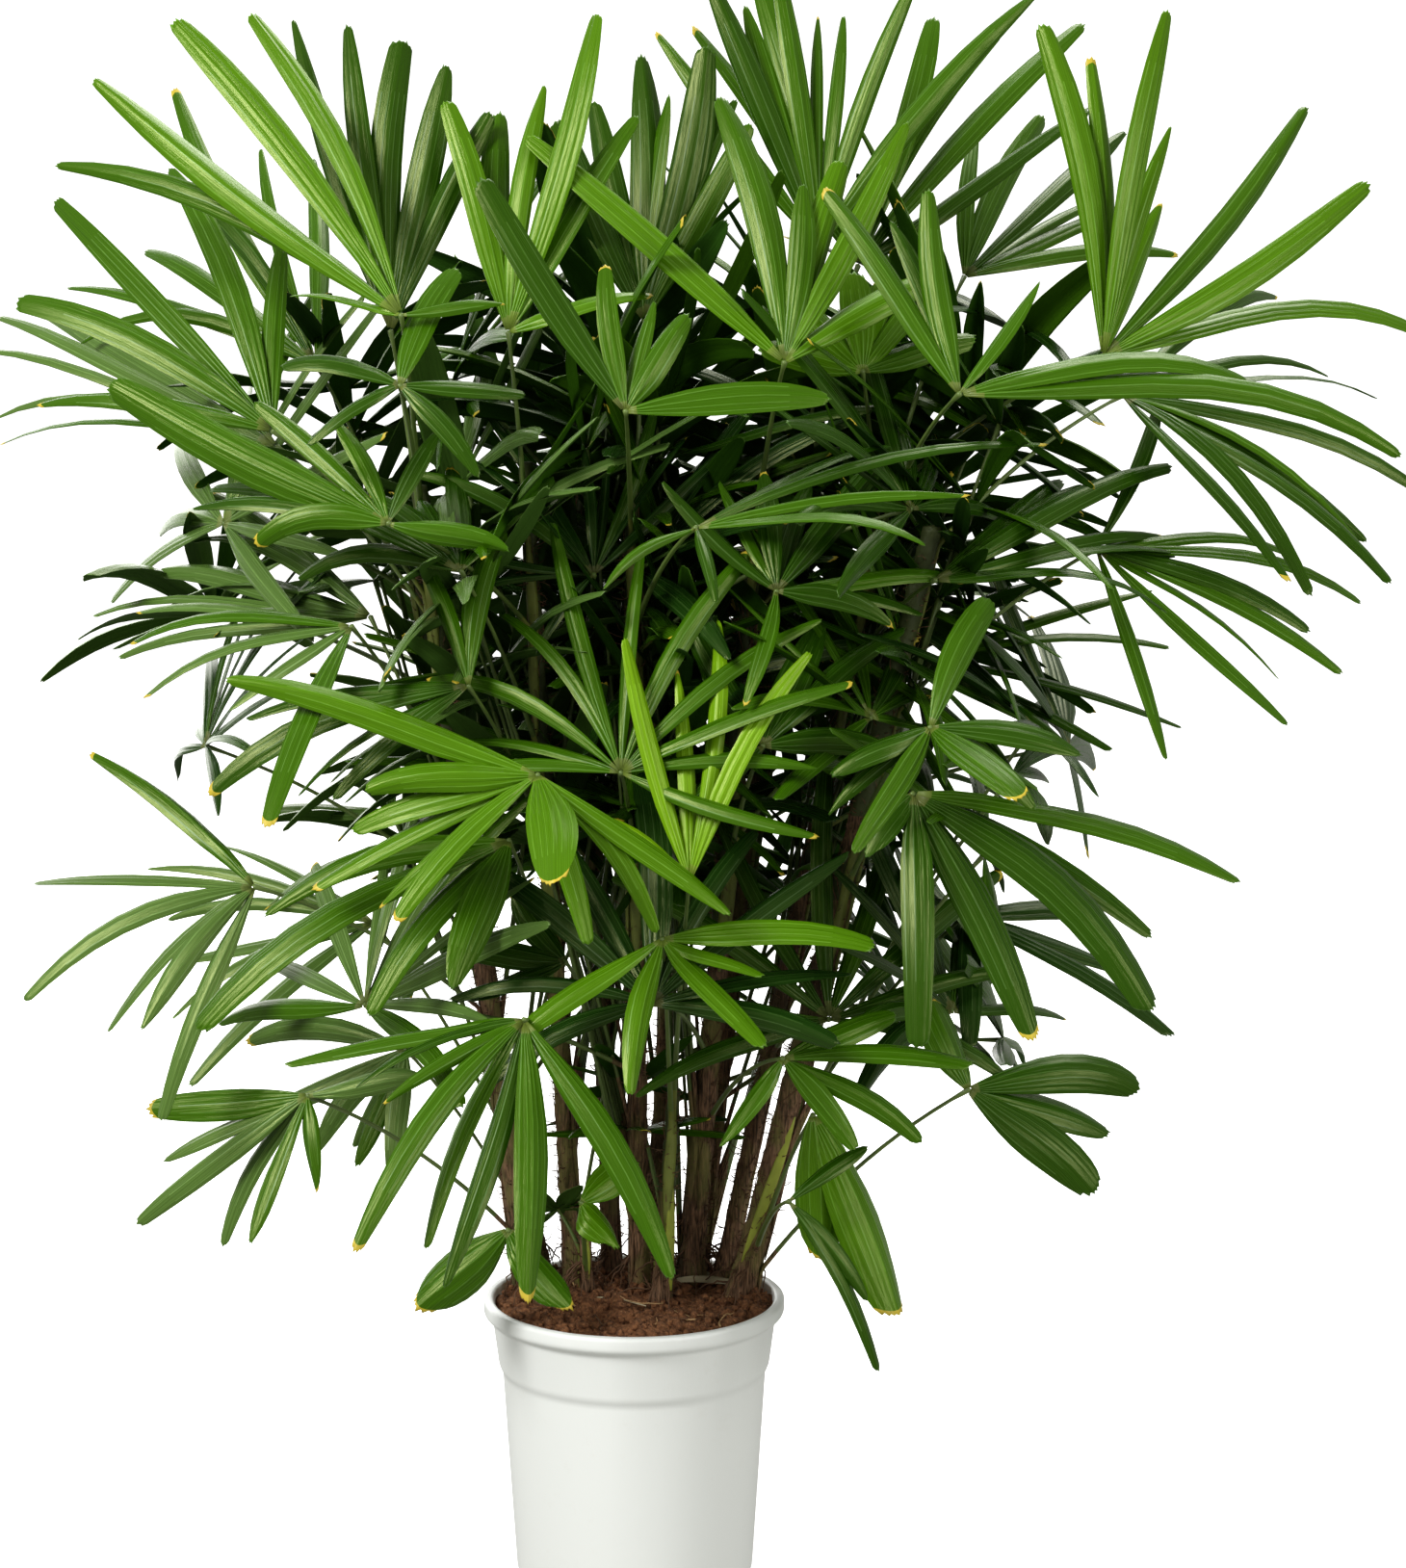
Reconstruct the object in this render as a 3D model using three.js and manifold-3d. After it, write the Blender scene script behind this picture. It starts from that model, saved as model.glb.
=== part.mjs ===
// Lady palm in its nursery pot: a clump of fibrous canes with fan-shaped fronds.
// Millimetres, +Z up. The origin is at the middle of the pot's flat underside,
// +X is to the right and -Y is towards the viewer when the plant shows its front.
import * as THREE from 'three';
import Module from 'manifold-3d';

const wasm = await Module();
wasm.setup();

// ---------------------------------------------------------------- driving sizes
const POT_HEIGHT = 233;
const POT_RIM_RADIUS = 120;
const RIM_BAND = 12; // height of the rolled rim
const RIM_WIDTH = 8; // width of the rim's flat top
const POT_COLLAR_RADIUS = 113; // just under the rim
const POT_LEDGE_RADIUS = 108; // foot of the collar
const POT_LEDGE_DROP = 55; // from the rim's top down to the ledge
const POT_SHOULDER_RADIUS = 105; // body just under the ledge
const POT_BODY_RADIUS = 95.5; // body where the rounded foot begins
const POT_FOOT_RADIUS = 87; // flat underside
const POT_FOOT_ROUND = 18; // height of the rounded foot
const POT_FOOT_BULGE = [0.7, 0.3]; // middle of that round, as shares of its width and height
const POT_LEDGE_SLOPE = 2; // height of the ledge's slanting underside
const POT_RIM_EDGE = 3; // bevel of the rim
const POT_RIM_SLANT = 4; // how far the rim's underside falls from its edge to the collar
const POT_WALL = 3;
const POT_FLOOR = 4;
const POT_SIDES = 28;

const SOIL_TOP = 229; // flat middle, where the canes stand
const SOIL_EDGE = 224; // at the wall
const SOIL_FLAT_RADIUS = 103;

const GAP = 0.3; // clearance between neighbouring solids
const PAD = 1.2 * GAP; // added all round a piece while its room is tried
const BORE_GAP = 1.4 * GAP; // what a sheath leaves free round its cane
const OVERCUT = 1; // how far a cut runs past what it cuts
const CANE_SIDES = 6;
const CANE_TIP_SHARE = 0.72; // radius left at a cane's tip
const FLARE_SHARE = 0.35; // extra radius of the foot
const FLARE_HEIGHT = 22;
const SHEATH_WALL = 2.6; // leaf sheath wrapped round its cane
const BORE_REACH = 60; // how far either way a petiole is cut clear of its cane
const SHEATH_MARGIN = 12; // sheath above and below the petioles it carries
const SHEATH_INSET = SHEATH_MARGIN + 4; // least distance from a petiole to an end of the cane
const FRONDS_PER_SHEATH = 2;
const FROND_SPACING = 15; // least distance up the cane from one frond to the next

const PETIOLE_RADIUS = 3.4; // where it leaves the sheath
const PETIOLE_TIP_SHARE = 0.62;
const PETIOLE_SIDES = 3;
const PETIOLE_SLOPE = 0.45; // least rise for each unit of reach
const PETIOLE_START = 20; // least rise of a petiole with no reach
const PETIOLE_LENGTH = 180; // least length
const PETIOLE_HANDLE = 0.45; // place of the curve's handle, as a share of the way to the hub
const PETIOLE_BOW = 0.12; // how far that handle stands above the straight line
const PETIOLE_ROOT = 0.5; // where its middle line starts, as a share of the cane's radius
const PETIOLE_BENDS = [20, 40, 60, 80, 110]; // of the handle, tried in turn
const HUB_RADIUS = 8; // rim that the leaflets spring from
const HUB_TOP = 2; // its middle above the rim
const HUB_KEEL = 3.5; // and below
const HUB_SIDES = 8;
const HUB_STEP = 90; // most degrees of bare rim in one straight edge
const HUB_OFFSETS = [0, 12, -12, 24, -24]; // out of the face, tried in turn

const BLADE_THICKNESS = 3.2;
const FAN_WIDTH = 152; // widths of a fan's leaflets, added up
const BLADE_WIDTH_LEAST = 14;
const BLADE_WIDTH_MOST = 38;
const BLADE_WIDTH_VARIES = [0.85, 1.15];
const BLADE_FULL_LENGTH = 220; // shorter leaflets are narrower too
const BLADE_GROWTH = [0.55, 1, 1.1]; // width of the shortest, of a full one, and most length
const BLADE_DIP = [-0.17, 0.1]; // of its tip off the face, as a share of length
const BLADE_ARCH = 0.2; // how far the curve's handle stands off, as a share of length
const BLADE_ARCH_VARIES = [0.7, 1.25];
const BLADE_ROLL = 24; // degrees either way
const BLADE_SHORTEST = 45;
const BLADE_SECTOR = 0.46; // of the angle to the next leaflet, the most that a half may fill
const BLADE_SECTOR_MOST = 60; // and the most of all, in degrees
const BLADE_ROOT_ANGLE = 15; // most that a half fills at the rim
const SHORT_BLADE = 182; // up to this length a leaflet has one bend, and else two
const SHORT_BENDS = [[0.6, 1]]; // place along it, and width there as a share
const LONG_BENDS = [[0.34, 0.72], [0.8, 1]];
const BLADE_LIFT_SHARE = 0.3; // of a lifted tip, how much the handle goes along
const BLADE_LIFTS = [0, 10, -10, 20, -20, 32, -32, 46, -46]; // tried in turn, off the face
const BLADE_SWINGS = [0, 4, -4]; // degrees on the face
const BLADE_SHARES = [1, 0.85, 0.7, 0.5]; // of its length

// ---------------------------------------------------------------- canes
// foot and tip are [x, y]; the foot stands on the soil, the tip is at the height `top`.
// extra is the number of fronds that the rule adds, out from `bearing` degrees.
const CANES = {
  left: { foot: [-86, 32], tip: [-165, 5], top: 880, radius: 9.5 },
  left_rear: { foot: [-76, 62], tip: [-190, 175], top: 850, radius: 7.5, extra: 6, bearing: 140 },
  left_inner: { foot: [-50, 48], tip: [-80, -35], top: 900, radius: 7.5, extra: 1, bearing: 200 },
  middle_rear: { foot: [-20, 72], tip: [-45, 120], top: 930, radius: 7, extra: 6, bearing: 105 },
  middle: { foot: [5, 30], tip: [0, -30], top: 870, radius: 7.5, extra: 3, bearing: -70 },
  right_inner: { foot: [45, 54], tip: [100, 5], top: 900, radius: 9.5, extra: 3, bearing: -20 },
  right_rear: { foot: [50, 82], tip: [135, 150], top: 960, radius: 7, extra: 7, bearing: 50 },
  right: { foot: [71, 60], tip: [205, 65], top: 900, radius: 7.5, extra: 3, bearing: 20 },
  leaning: { foot: [86, 18], tip: [232, -20], top: 850, radius: 11 },
  rear: { foot: [14, 94], tip: [45, 265], top: 820, radius: 7.5, extra: 8, bearing: 85 },
  cut_short: { foot: [22, 2], tip: [32, -12], top: 405, radius: 7.2 },
  small_shoot: { foot: [-38, 18], tip: [-40, 5], top: 300, radius: 5.2 },
  low_shoot: { foot: [-73, -10], tip: [-80, -24], top: 272, radius: 5 },
};

// ---------------------------------------------------------------- front fronds
// cane, hub [x, y, z], face [turn, tilt], then clock and length of each leaflet.
// The face looks to the front, turned to +X and tilted up by those degrees. The clock is
// the leaflet's direction on that face: 0 up, 90 to the right, -90 to the left.
const FRONT_FRONDS = [
  ['left', [-250, -80, 415], [-20, 25], [-100, 130, -130, 170, -170, 120, 165, 75, 75, 90]],
  ['left', [-290, -60, 575], [-15, 36], [-56, 185, -94, 175, -124, 195, -154, 140, -166, 190]],
  ['left', [-210, -90, 780], [-20, 50], [-104, 170, -86, 190, -120, 165, -136, 110, 178, 205]],
  ['left', [-205, 20, 775], [-15, 52], [-68, 230, -82, 260, -100, 210, -52, 220]],
  ['left', [-165, -170, 965], [0, 30], [-75, 90, -125, 80, 140, 90, 90, 90, 20, 110]],
  ['left', [-270, -60, 925], [-15, 25], [-48, 310, -30, 270, -8, 175, -84, 200, -66, 240]],
  ['left', [-280, 60, 905], [-20, 46], [-58, 350, -66, 330, -48, 260, -76, 310, -90, 250]],
  ['left', [-165, -150, 1015], [-10, 25], [-78, 90, 80, 75, -40, 300, -30, 295, -65, 320, -54, 310]],
  ['left', [-180, -60, 1000], [-10, 20], [-22, 280, -12, 245, -2, 230, 8, 210, 22, 180]],
  ['left_rear', [-185, 60, 420], [-20, 30], [-145, 110, -165, 100, 175, 110, -90, 150, -120, 140]],
  ['left_rear', [-215, 130, 510], [-15, 50], [-62, 180, -80, 210, -104, 160, -126, 180, -144, 200]],
  ['left_rear', [-255, 130, 965], [-15, 40], [-70, 260, -82, 220, -54, 240, -34, 320, -16, 260]],
  ['left_inner', [-75, -240, 510], [0, 35],
    [-100, 175, -125, 120, -148, 215, -165, 205, 178, 215, 150, 215]],
  ['left_inner', [-90, -140, 625], [-10, 40], [-150, 170, -110, 190, -130, 270, -170, 130]],
  ['left_inner', [-65, -210, 685], [0, 30],
    [-95, 125, -115, 180, -138, 150, 163, 130, 125, 170, -72, 240]],
  ['left_inner', [-120, -130, 740], [-10, 30], [-100, 170, -135, 130, -115, 210, 5, 130, -25, 110]],
  ['left_inner', [-125, -120, 825], [-10, 45], [-70, 220, -88, 130, -46, 120, -14, 120, 30, 110]],
  ['left_inner', [-175, -170, 865], [-10, 25], [-65, 245, -30, 90, 20, 80, -100, 100, 100, 90]],
  ['left_inner', [-90, -90, 1000], [0, 20], [-15, 185, -3, 180, 15, 250, 30, 190, 76, 110]],
  ['middle_rear', [-50, -100, 525], [0, 35], [-85, 95, -115, 80, -35, 70]],
  ['middle_rear', [-28, -60, 816], [0, 30],
    [-60, 160, -30, 165, -5, 110, 18, 150, 42, 160, -98, 120, -148, 80]],
  ['middle', [50, -210, 865], [5, 50], [174, 80, 84, 200, 70, 285, 54, 190, 102, 165, -130, 90]],
  ['middle', [0, -230, 950], [0, 20], [-32, 195, 30, 85, 85, 145, -8, 110]],
  ['middle', [10, 20, 1005], [-5, 15], [-3, 220, 12, 215, -24, 180, 28, 170]],
  ['right_inner', [115, -170, 465], [10, 30], [-140, 80, 70, 95, 95, 140, 145, 85, 122, 120]],
  ['right_inner', [100, -130, 695], [10, 30], [50, 160, 28, 120, -130, 100, -25, 130, 100, 110]],
  ['right_inner', [110, -120, 810], [10, 30], [40, 170, -40, 120, 110, 90, 85, 150, 0, 100, -160, 100]],
  ['right_inner', [115, -130, 980], [5, 20], [-45, 260, -10, 220, 8, 140, 28, 210, 58, 130]],
  ['right_rear', [145, 40, 1060], [0, 12], [-36, 215, -22, 230, -8, 235, 6, 190, 20, 235, 40, 265]],
  ['right_rear', [178, 105, 1045], [10, 18], [-30, 235, -14, 250, 44, 300, 56, 240, 20, 220]],
  ['right', [175, -60, 970], [10, 30], [-35, 100, 40, 95, 75, 90, 0, 80, -70, 80]],
  ['right', [230, -90, 815], [15, 55], [100, 180, 78, 220, 62, 250, 46, 200]],
  ['right', [240, -190, 960], [10, 25], [-27, 185, -4, 155, 38, 110, 88, 215, 99, 330]],
  ['right', [265, 150, 1035], [15, 40], [16, 160, 32, 210, 48, 240, 62, 200, 80, 200]],
  ['right', [360, -30, 980], [15, 15], [-6, 260, 14, 270, 44, 280, 60, 270, 84, 280, 28, 140]],
  ['leaning', [120, -150, 350], [15, 20], [60, 75, 145, 95, 154, 145]],
  ['leaning', [140, -80, 400], [10, 20], [160, 165, 178, 110]],
  ['leaning', [260, -80, 420], [20, 25], [135, 125, -15, 75, 95, 140]],
  ['leaning', [265, 60, 530], [15, 45], [-168, 130, 112, 145, 130, 190, 90, 120]],
  ['leaning', [210, -170, 665], [10, 25], [108, 250, 136, 235, 158, 200, -176, 190, -140, 60]],
  ['leaning', [220, -210, 720], [10, 30], [104, 110, 130, 95, 30, 120, -145, 120, -112, 80]],
  ['leaning', [235, 60, 735], [15, 55], [74, 210, 90, 200, 106, 210, 128, 160, 146, 150]],
  ['leaning', [360, 0, 830], [20, 40], [34, 160, 92, 180, 110, 210, 128, 210, 146, 200, 176, 180]],
  ['leaning', [385, 60, 945], [20, 48], [54, 260, 164, 220, 146, 260, 130, 220, 112, 270, 90, 230]],
  ['cut_short', [25, -190, 560], [0, 40], [-125, 140, -170, 125, 140, 115, 112, 80, 95, 155]],
  ['cut_short', [45, -195, 604], [10, 15], [10, 200, 30, 190, -12, 185, -55, 90]],
  ['small_shoot', [-40, -60, 325], [0, 30], [50, 55, 140, 45]],
  ['low_shoot', [-95, -105, 315], [0, 25], [-130, 90, 140, 75]],
];

// ---------------------------------------------------------------- rule for the other fronds
const RULE_LOWEST = 330; // lowest place on a cane
const RULE_HIGHEST = 30; // below the cane's tip
const RULE_SECTOR = 165; // degrees they fan out over, round the cane's bearing
const RULE_STRAY = 8; // degrees either way of that
const RULE_REACH = [130, 300];
const RULE_REACH_SHARE = [1, 0.7]; // of it, from the lowest frond to the highest
const RULE_RISE = [40, 130];
const RULE_RISE_SHARE = [0.8, 1.25];
const RULE_TILT = [18, 42];
const RULE_TURN = 15; // degrees either way that the face turns off the bearing
const RULE_LEAFLETS = [4.6, 6.4];
const RULE_SPREAD = 108; // clock of the outermost leaflets
const RULE_CLOCK_STRAY = 7;
const RULE_BLADE = 235; // length of the middle leaflet
const RULE_BLADE_VARIES = [0.85, 1.1]; // from frond to frond
const RULE_LEAFLET_VARIES = [0.9, 1.05]; // and from leaflet to leaflet
const RULE_SIDE_SHARE = 0.72; // length of the outermost against the middle one
const GOLDEN = 0.381966; // of a turn, from one frond to the next

const SEED_STEP = 7919; // between the starts of two fronds' draws
const LEAFLET_SEED = 1000; // added to a frond's number for its leaflets
const MULTIPLIER = 16807;
const MODULUS = 2147483647;

const POT_FINISH = { color: 0xf1f2ee, roughness: 0.35, metalness: 0 };
const SOIL_FINISH = { color: 0x5b3a24, roughness: 0.95, metalness: 0 };
const CANE_FINISH = { color: 0x5a3b27, roughness: 0.85, metalness: 0 };
const FROND_FINISH = { color: 0x2f6d22, roughness: 0.4, metalness: 0 };

const UP = new THREE.Vector3(0, 0, 1);
const { clamp, degToRad: radians, lerp: mix } = THREE.MathUtils;

// Park and Miller's generator, so that each frond can be grown again from its number.
function seeded(seed) {
  let state = 1 + seed * SEED_STEP;
  const draw = () => {
    state = (state * MULTIPLIER) % MODULUS;
    return state / MODULUS;
  };
  draw();
  return (low, high) => mix(low, high, draw());
}

// ---------------------------------------------------------------- solids
// Joins rings of points, each anticlockwise seen from the far end, into a closed solid.
// A ring of one point is a tip.
function loft(rings) {
  const points = rings.flat();
  const starts = rings.map((_, k) => rings.slice(0, k).flat().length);
  const faces = [];
  for (let k = 0; k + 1 < rings.length; k += 1) {
    const [near, far] = [rings[k].length, rings[k + 1].length];
    for (let i = 0; i < Math.max(near, far); i += 1) {
      const a = starts[k] + (i % near);
      const b = starts[k] + ((i + 1) % near);
      const c = starts[k + 1] + ((i + 1) % far);
      const d = starts[k + 1] + (i % far);
      if (near > 1) faces.push(a, b, c);
      if (far > 1) faces.push(a, c, d);
    }
  }
  const last = rings.length - 1;
  for (let i = 1; i + 1 < rings[0].length; i += 1) {
    faces.push(starts[0], starts[0] + i + 1, starts[0] + i);
  }
  for (let i = 1; i + 1 < rings[last].length; i += 1) {
    faces.push(starts[last], starts[last] + i, starts[last] + i + 1);
  }
  return solid(points.flatMap((p) => p.toArray()), faces);
}

function solid(coordinates, faces) {
  const mesh = new wasm.Mesh({
    numProp: 3,
    vertProperties: new Float32Array(coordinates),
    triVerts: new Uint32Array(faces),
  });
  return new wasm.Manifold(mesh);
}

// A regular ring of points round a centre, from `over` and on away from `across`.
function ring(centre, across, over, radius, sides) {
  return Array.from({ length: sides }, (_, i) => {
    const angle = Math.PI / 2 + (i / sides) * 2 * Math.PI;
    return centre.clone()
      .addScaledVector(across, radius * Math.cos(angle))
      .addScaledVector(over, radius * Math.sin(angle));
  });
}

// Fuses solids and keeps the outer shell, so a hollow that fusing seals is filled.
function unite(solids) {
  const whole = solids.reduce((sum, piece) => sum.add(piece));
  return whole.decompose().reduce((a, b) => (a.volume() > b.volume() ? a : b));
}

function meshOf(name, whole, finish) {
  const { vertProperties, triVerts } = whole.getMesh();
  const geometry = new THREE.BufferGeometry();
  geometry.setAttribute('position', new THREE.BufferAttribute(vertProperties, 3));
  geometry.setIndex(new THREE.BufferAttribute(triVerts, 1));
  geometry.computeVertexNormals();
  return named(name, geometry, finish);
}

function named(name, geometry, finish) {
  const mesh = new THREE.Mesh(geometry, new THREE.MeshStandardMaterial(finish));
  mesh.name = name;
  return mesh;
}

// ---------------------------------------------------------------- pot and soil
const LEDGE = POT_HEIGHT - POT_LEDGE_DROP;
const BAND_FOOT = POT_HEIGHT - RIM_BAND;
const COLLAR_INSIDE = POT_COLLAR_RADIUS - POT_WALL;

// Turns a profile of [radius, height] points round the pot's axis.
function latheMesh(name, profile, finish) {
  const points = profile.map(([radius, height]) => new THREE.Vector2(radius, height));
  const geometry = new THREE.LatheGeometry(points, POT_SIDES);
  geometry.rotateX(Math.PI / 2);
  return named(name, geometry, finish);
}

// Inner radius of the pot's straight body at a height.
function innerRadius(height) {
  const share = (height - POT_FOOT_ROUND) / (LEDGE - POT_FOOT_ROUND);
  return mix(POT_BODY_RADIUS, POT_SHOULDER_RADIUS, share) - POT_WALL;
}

function makePot() {
  const [bulgeOut, bulgeUp] = POT_FOOT_BULGE;
  return latheMesh('pot', [
    [0, 0],
    [POT_FOOT_RADIUS, 0],
    [mix(POT_FOOT_RADIUS, POT_BODY_RADIUS, bulgeOut), POT_FOOT_ROUND * bulgeUp],
    [POT_BODY_RADIUS, POT_FOOT_ROUND],
    [POT_SHOULDER_RADIUS, LEDGE - POT_LEDGE_SLOPE],
    [POT_LEDGE_RADIUS, LEDGE],
    [POT_COLLAR_RADIUS, BAND_FOOT - POT_RIM_SLANT],
    [POT_RIM_RADIUS - POT_RIM_EDGE, BAND_FOOT],
    [POT_RIM_RADIUS, BAND_FOOT + POT_RIM_EDGE],
    [POT_RIM_RADIUS, POT_HEIGHT - POT_RIM_EDGE],
    [POT_RIM_RADIUS - POT_RIM_EDGE, POT_HEIGHT],
    [POT_RIM_RADIUS - RIM_WIDTH, POT_HEIGHT],
    [COLLAR_INSIDE, BAND_FOOT],
    [innerRadius(LEDGE), LEDGE],
    [innerRadius(POT_FOOT_ROUND), POT_FOOT_ROUND],
    [POT_FOOT_RADIUS, POT_FLOOR],
    [0, POT_FLOOR],
  ], POT_FINISH);
}

// The soil fills the pot to just below its rim, a little clear of the wall.
function makeSoil() {
  return latheMesh('soil', [
    [0, POT_FLOOR + GAP],
    [POT_FOOT_RADIUS - GAP, POT_FLOOR + GAP],
    [innerRadius(POT_FOOT_ROUND) - 2 * GAP, POT_FOOT_ROUND],
    [innerRadius(LEDGE) - 2 * GAP, LEDGE],
    [COLLAR_INSIDE - 2 * GAP, BAND_FOOT],
    [COLLAR_INSIDE - GAP, SOIL_EDGE],
    [SOIL_FLAT_RADIUS, SOIL_TOP],
    [0, SOIL_TOP],
  ], SOIL_FINISH);
}

// ---------------------------------------------------------------- canes and sheaths
const CANE_FOOT = SOIL_TOP + GAP;

function canePoint(cane, height) {
  const share = (height - CANE_FOOT) / (cane.top - CANE_FOOT);
  const x = mix(cane.foot[0], cane.tip[0], share);
  const y = mix(cane.foot[1], cane.tip[1], share);
  return new THREE.Vector3(x, y, height);
}

function caneRadius(cane, height) {
  const share = (height - CANE_FOOT) / (cane.top - CANE_FOOT);
  const flare = FLARE_SHARE * Math.exp(-(height - CANE_FOOT) / FLARE_HEIGHT);
  return cane.radius * (mix(1, CANE_TIP_SHARE, share) + flare);
}

// Level rings up a cane between two heights, `extra` wider than the cane.
function caneLoft(cane, low, high, extra) {
  const flareTop = CANE_FOOT + 2 * FLARE_HEIGHT;
  const halfWay = (flareTop + cane.top) / 2;
  const heights = [low, high, CANE_FOOT + FLARE_HEIGHT, flareTop, halfWay];
  const stations = heights.filter((z) => z >= low && z <= high).sort((a, b) => a - b);
  const [east, north] = [new THREE.Vector3(1, 0, 0), new THREE.Vector3(0, 1, 0)];
  return loft(stations.map((z) => {
    const radius = caneRadius(cane, z) + extra;
    return ring(canePoint(cane, z), east, north, radius, CANE_SIDES);
  }));
}

// What a sheath and its petioles leave free for the cane.
function caneBore(cane, low, high) {
  return caneLoft(cane, Math.max(low, CANE_FOOT), high, BORE_GAP);
}

function sheathSolid(cane, low, high) {
  const outer = caneLoft(cane, low, high, SHEATH_WALL);
  return outer.subtract(caneBore(cane, low - OVERCUT, high + OVERCUT));
}

// ---------------------------------------------------------------- fronds
// The face's own directions: out of the face, to its right, and up along it.
function faceFrame(bearing, tilt) {
  const [b, t] = [radians(bearing), radians(tilt)];
  const out = new THREE.Vector3(Math.cos(t) * Math.cos(b), Math.cos(t) * Math.sin(b), Math.sin(t));
  const right = UP.clone().cross(out).normalize();
  return { out, right, up: out.clone().cross(right) };
}

// Where a frond's petiole leaves its cane, from how far and how high the hub stands.
function attachHeight(cane, hub) {
  const across = Math.hypot(hub.x - cane.tip[0], hub.y - cane.tip[1]);
  const leastDrop = Math.sqrt(Math.max(PETIOLE_LENGTH ** 2 - across ** 2, 0));
  const drop = Math.max(PETIOLE_SLOPE * across + PETIOLE_START, leastDrop);
  return clamp(hub.z - drop, CANE_FOOT + SHEATH_INSET, cane.top - SHEATH_INSET);
}

function frontFrond([caneName, hub, [turn, tilt], pairs], number) {
  const place = new THREE.Vector3(...hub);
  const leaflets = [];
  for (let i = 0; i < pairs.length; i += 2) {
    leaflets.push({ clock: pairs[i], length: pairs[i + 1] });
  }
  return {
    caneName,
    number,
    hub: place,
    attach: attachHeight(CANES[caneName], place),
    frame: faceFrame(turn - 90, tilt),
    leaflets,
  };
}

function ruleFrond(caneName, k, number) {
  const cane = CANES[caneName];
  const random = seeded(number);
  const climb = (k + 0.5) / cane.extra;
  const attach = mix(RULE_LOWEST, cane.top - RULE_HIGHEST, climb);
  const swing = ((k * GOLDEN) % 1) - 0.5;
  const bearing = cane.bearing + RULE_SECTOR * swing + random(-RULE_STRAY, RULE_STRAY);
  const reach = random(...RULE_REACH) * mix(...RULE_REACH_SHARE, climb);
  const rise = random(...RULE_RISE) * mix(...RULE_RISE_SHARE, climb);
  const b = radians(bearing);
  const hub = canePoint(cane, attach)
    .add(new THREE.Vector3(reach * Math.cos(b), reach * Math.sin(b), rise));
  const count = Math.round(random(...RULE_LEAFLETS));
  const longest = RULE_BLADE * random(...RULE_BLADE_VARIES);
  const leaflets = Array.from({ length: count }, (_, i) => {
    const side = (2 * i) / (count - 1) - 1;
    const share = mix(1, RULE_SIDE_SHARE, Math.abs(side));
    return {
      clock: RULE_SPREAD * side + random(-RULE_CLOCK_STRAY, RULE_CLOCK_STRAY),
      length: longest * share * random(...RULE_LEAFLET_VARIES),
    };
  });
  const turned = bearing + random(-RULE_TURN, RULE_TURN);
  const frame = faceFrame(turned, random(...RULE_TILT));
  return { caneName, number, hub, attach, frame, leaflets };
}

// The petiole rises from the sheath in a bow and comes into the hub from behind.
function petioleSolid(frond, bend, margin) {
  const cane = CANES[frond.caneName];
  const start = canePoint(cane, frond.attach);
  const away = frond.hub.clone().sub(start).setZ(0).normalize();
  start.addScaledVector(away, caneRadius(cane, frond.attach) * PETIOLE_ROOT);
  const handle = start.clone().lerp(frond.hub, PETIOLE_HANDLE)
    .addScaledVector(away.clone().cross(UP), bend[0])
    .addScaledVector(UP, PETIOLE_BOW * start.distanceTo(frond.hub) + bend[1]);
  const end = frond.hub.clone().addScaledVector(frond.frame.out, -HUB_KEEL / 3);
  const curve = new THREE.QuadraticBezierCurve3(start, handle, end);
  const rings = [0, 0.5, 1].map((t) => {
    const along = curve.getTangent(t);
    const across = along.clone().cross(UP).normalize();
    const radius = PETIOLE_RADIUS * mix(1, PETIOLE_TIP_SHARE, t) + margin;
    return ring(curve.getPoint(t), across, along.clone().cross(across), radius, PETIOLE_SIDES);
  });
  const bore = caneBore(cane, frond.attach - BORE_REACH, frond.attach + BORE_REACH);
  return loft(rings).subtract(bore);
}

function onFace({ hub, frame }, clock, radius) {
  return hub.clone()
    .addScaledVector(frame.right, radius * Math.sin(radians(clock)))
    .addScaledVector(frame.up, radius * Math.cos(radians(clock)));
}

// The middle of the fan, without its leaflets.
function hubSolid(frond, margin) {
  const { hub, frame } = frond;
  const middle = (offset) => hub.clone().addScaledVector(frame.out, offset);
  const rim = ring(hub, frame.right, frame.up, HUB_RADIUS + margin, HUB_SIDES);
  return loft([[middle(-HUB_KEEL - margin)], rim, [middle(HUB_TOP + margin)]]);
}

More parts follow.
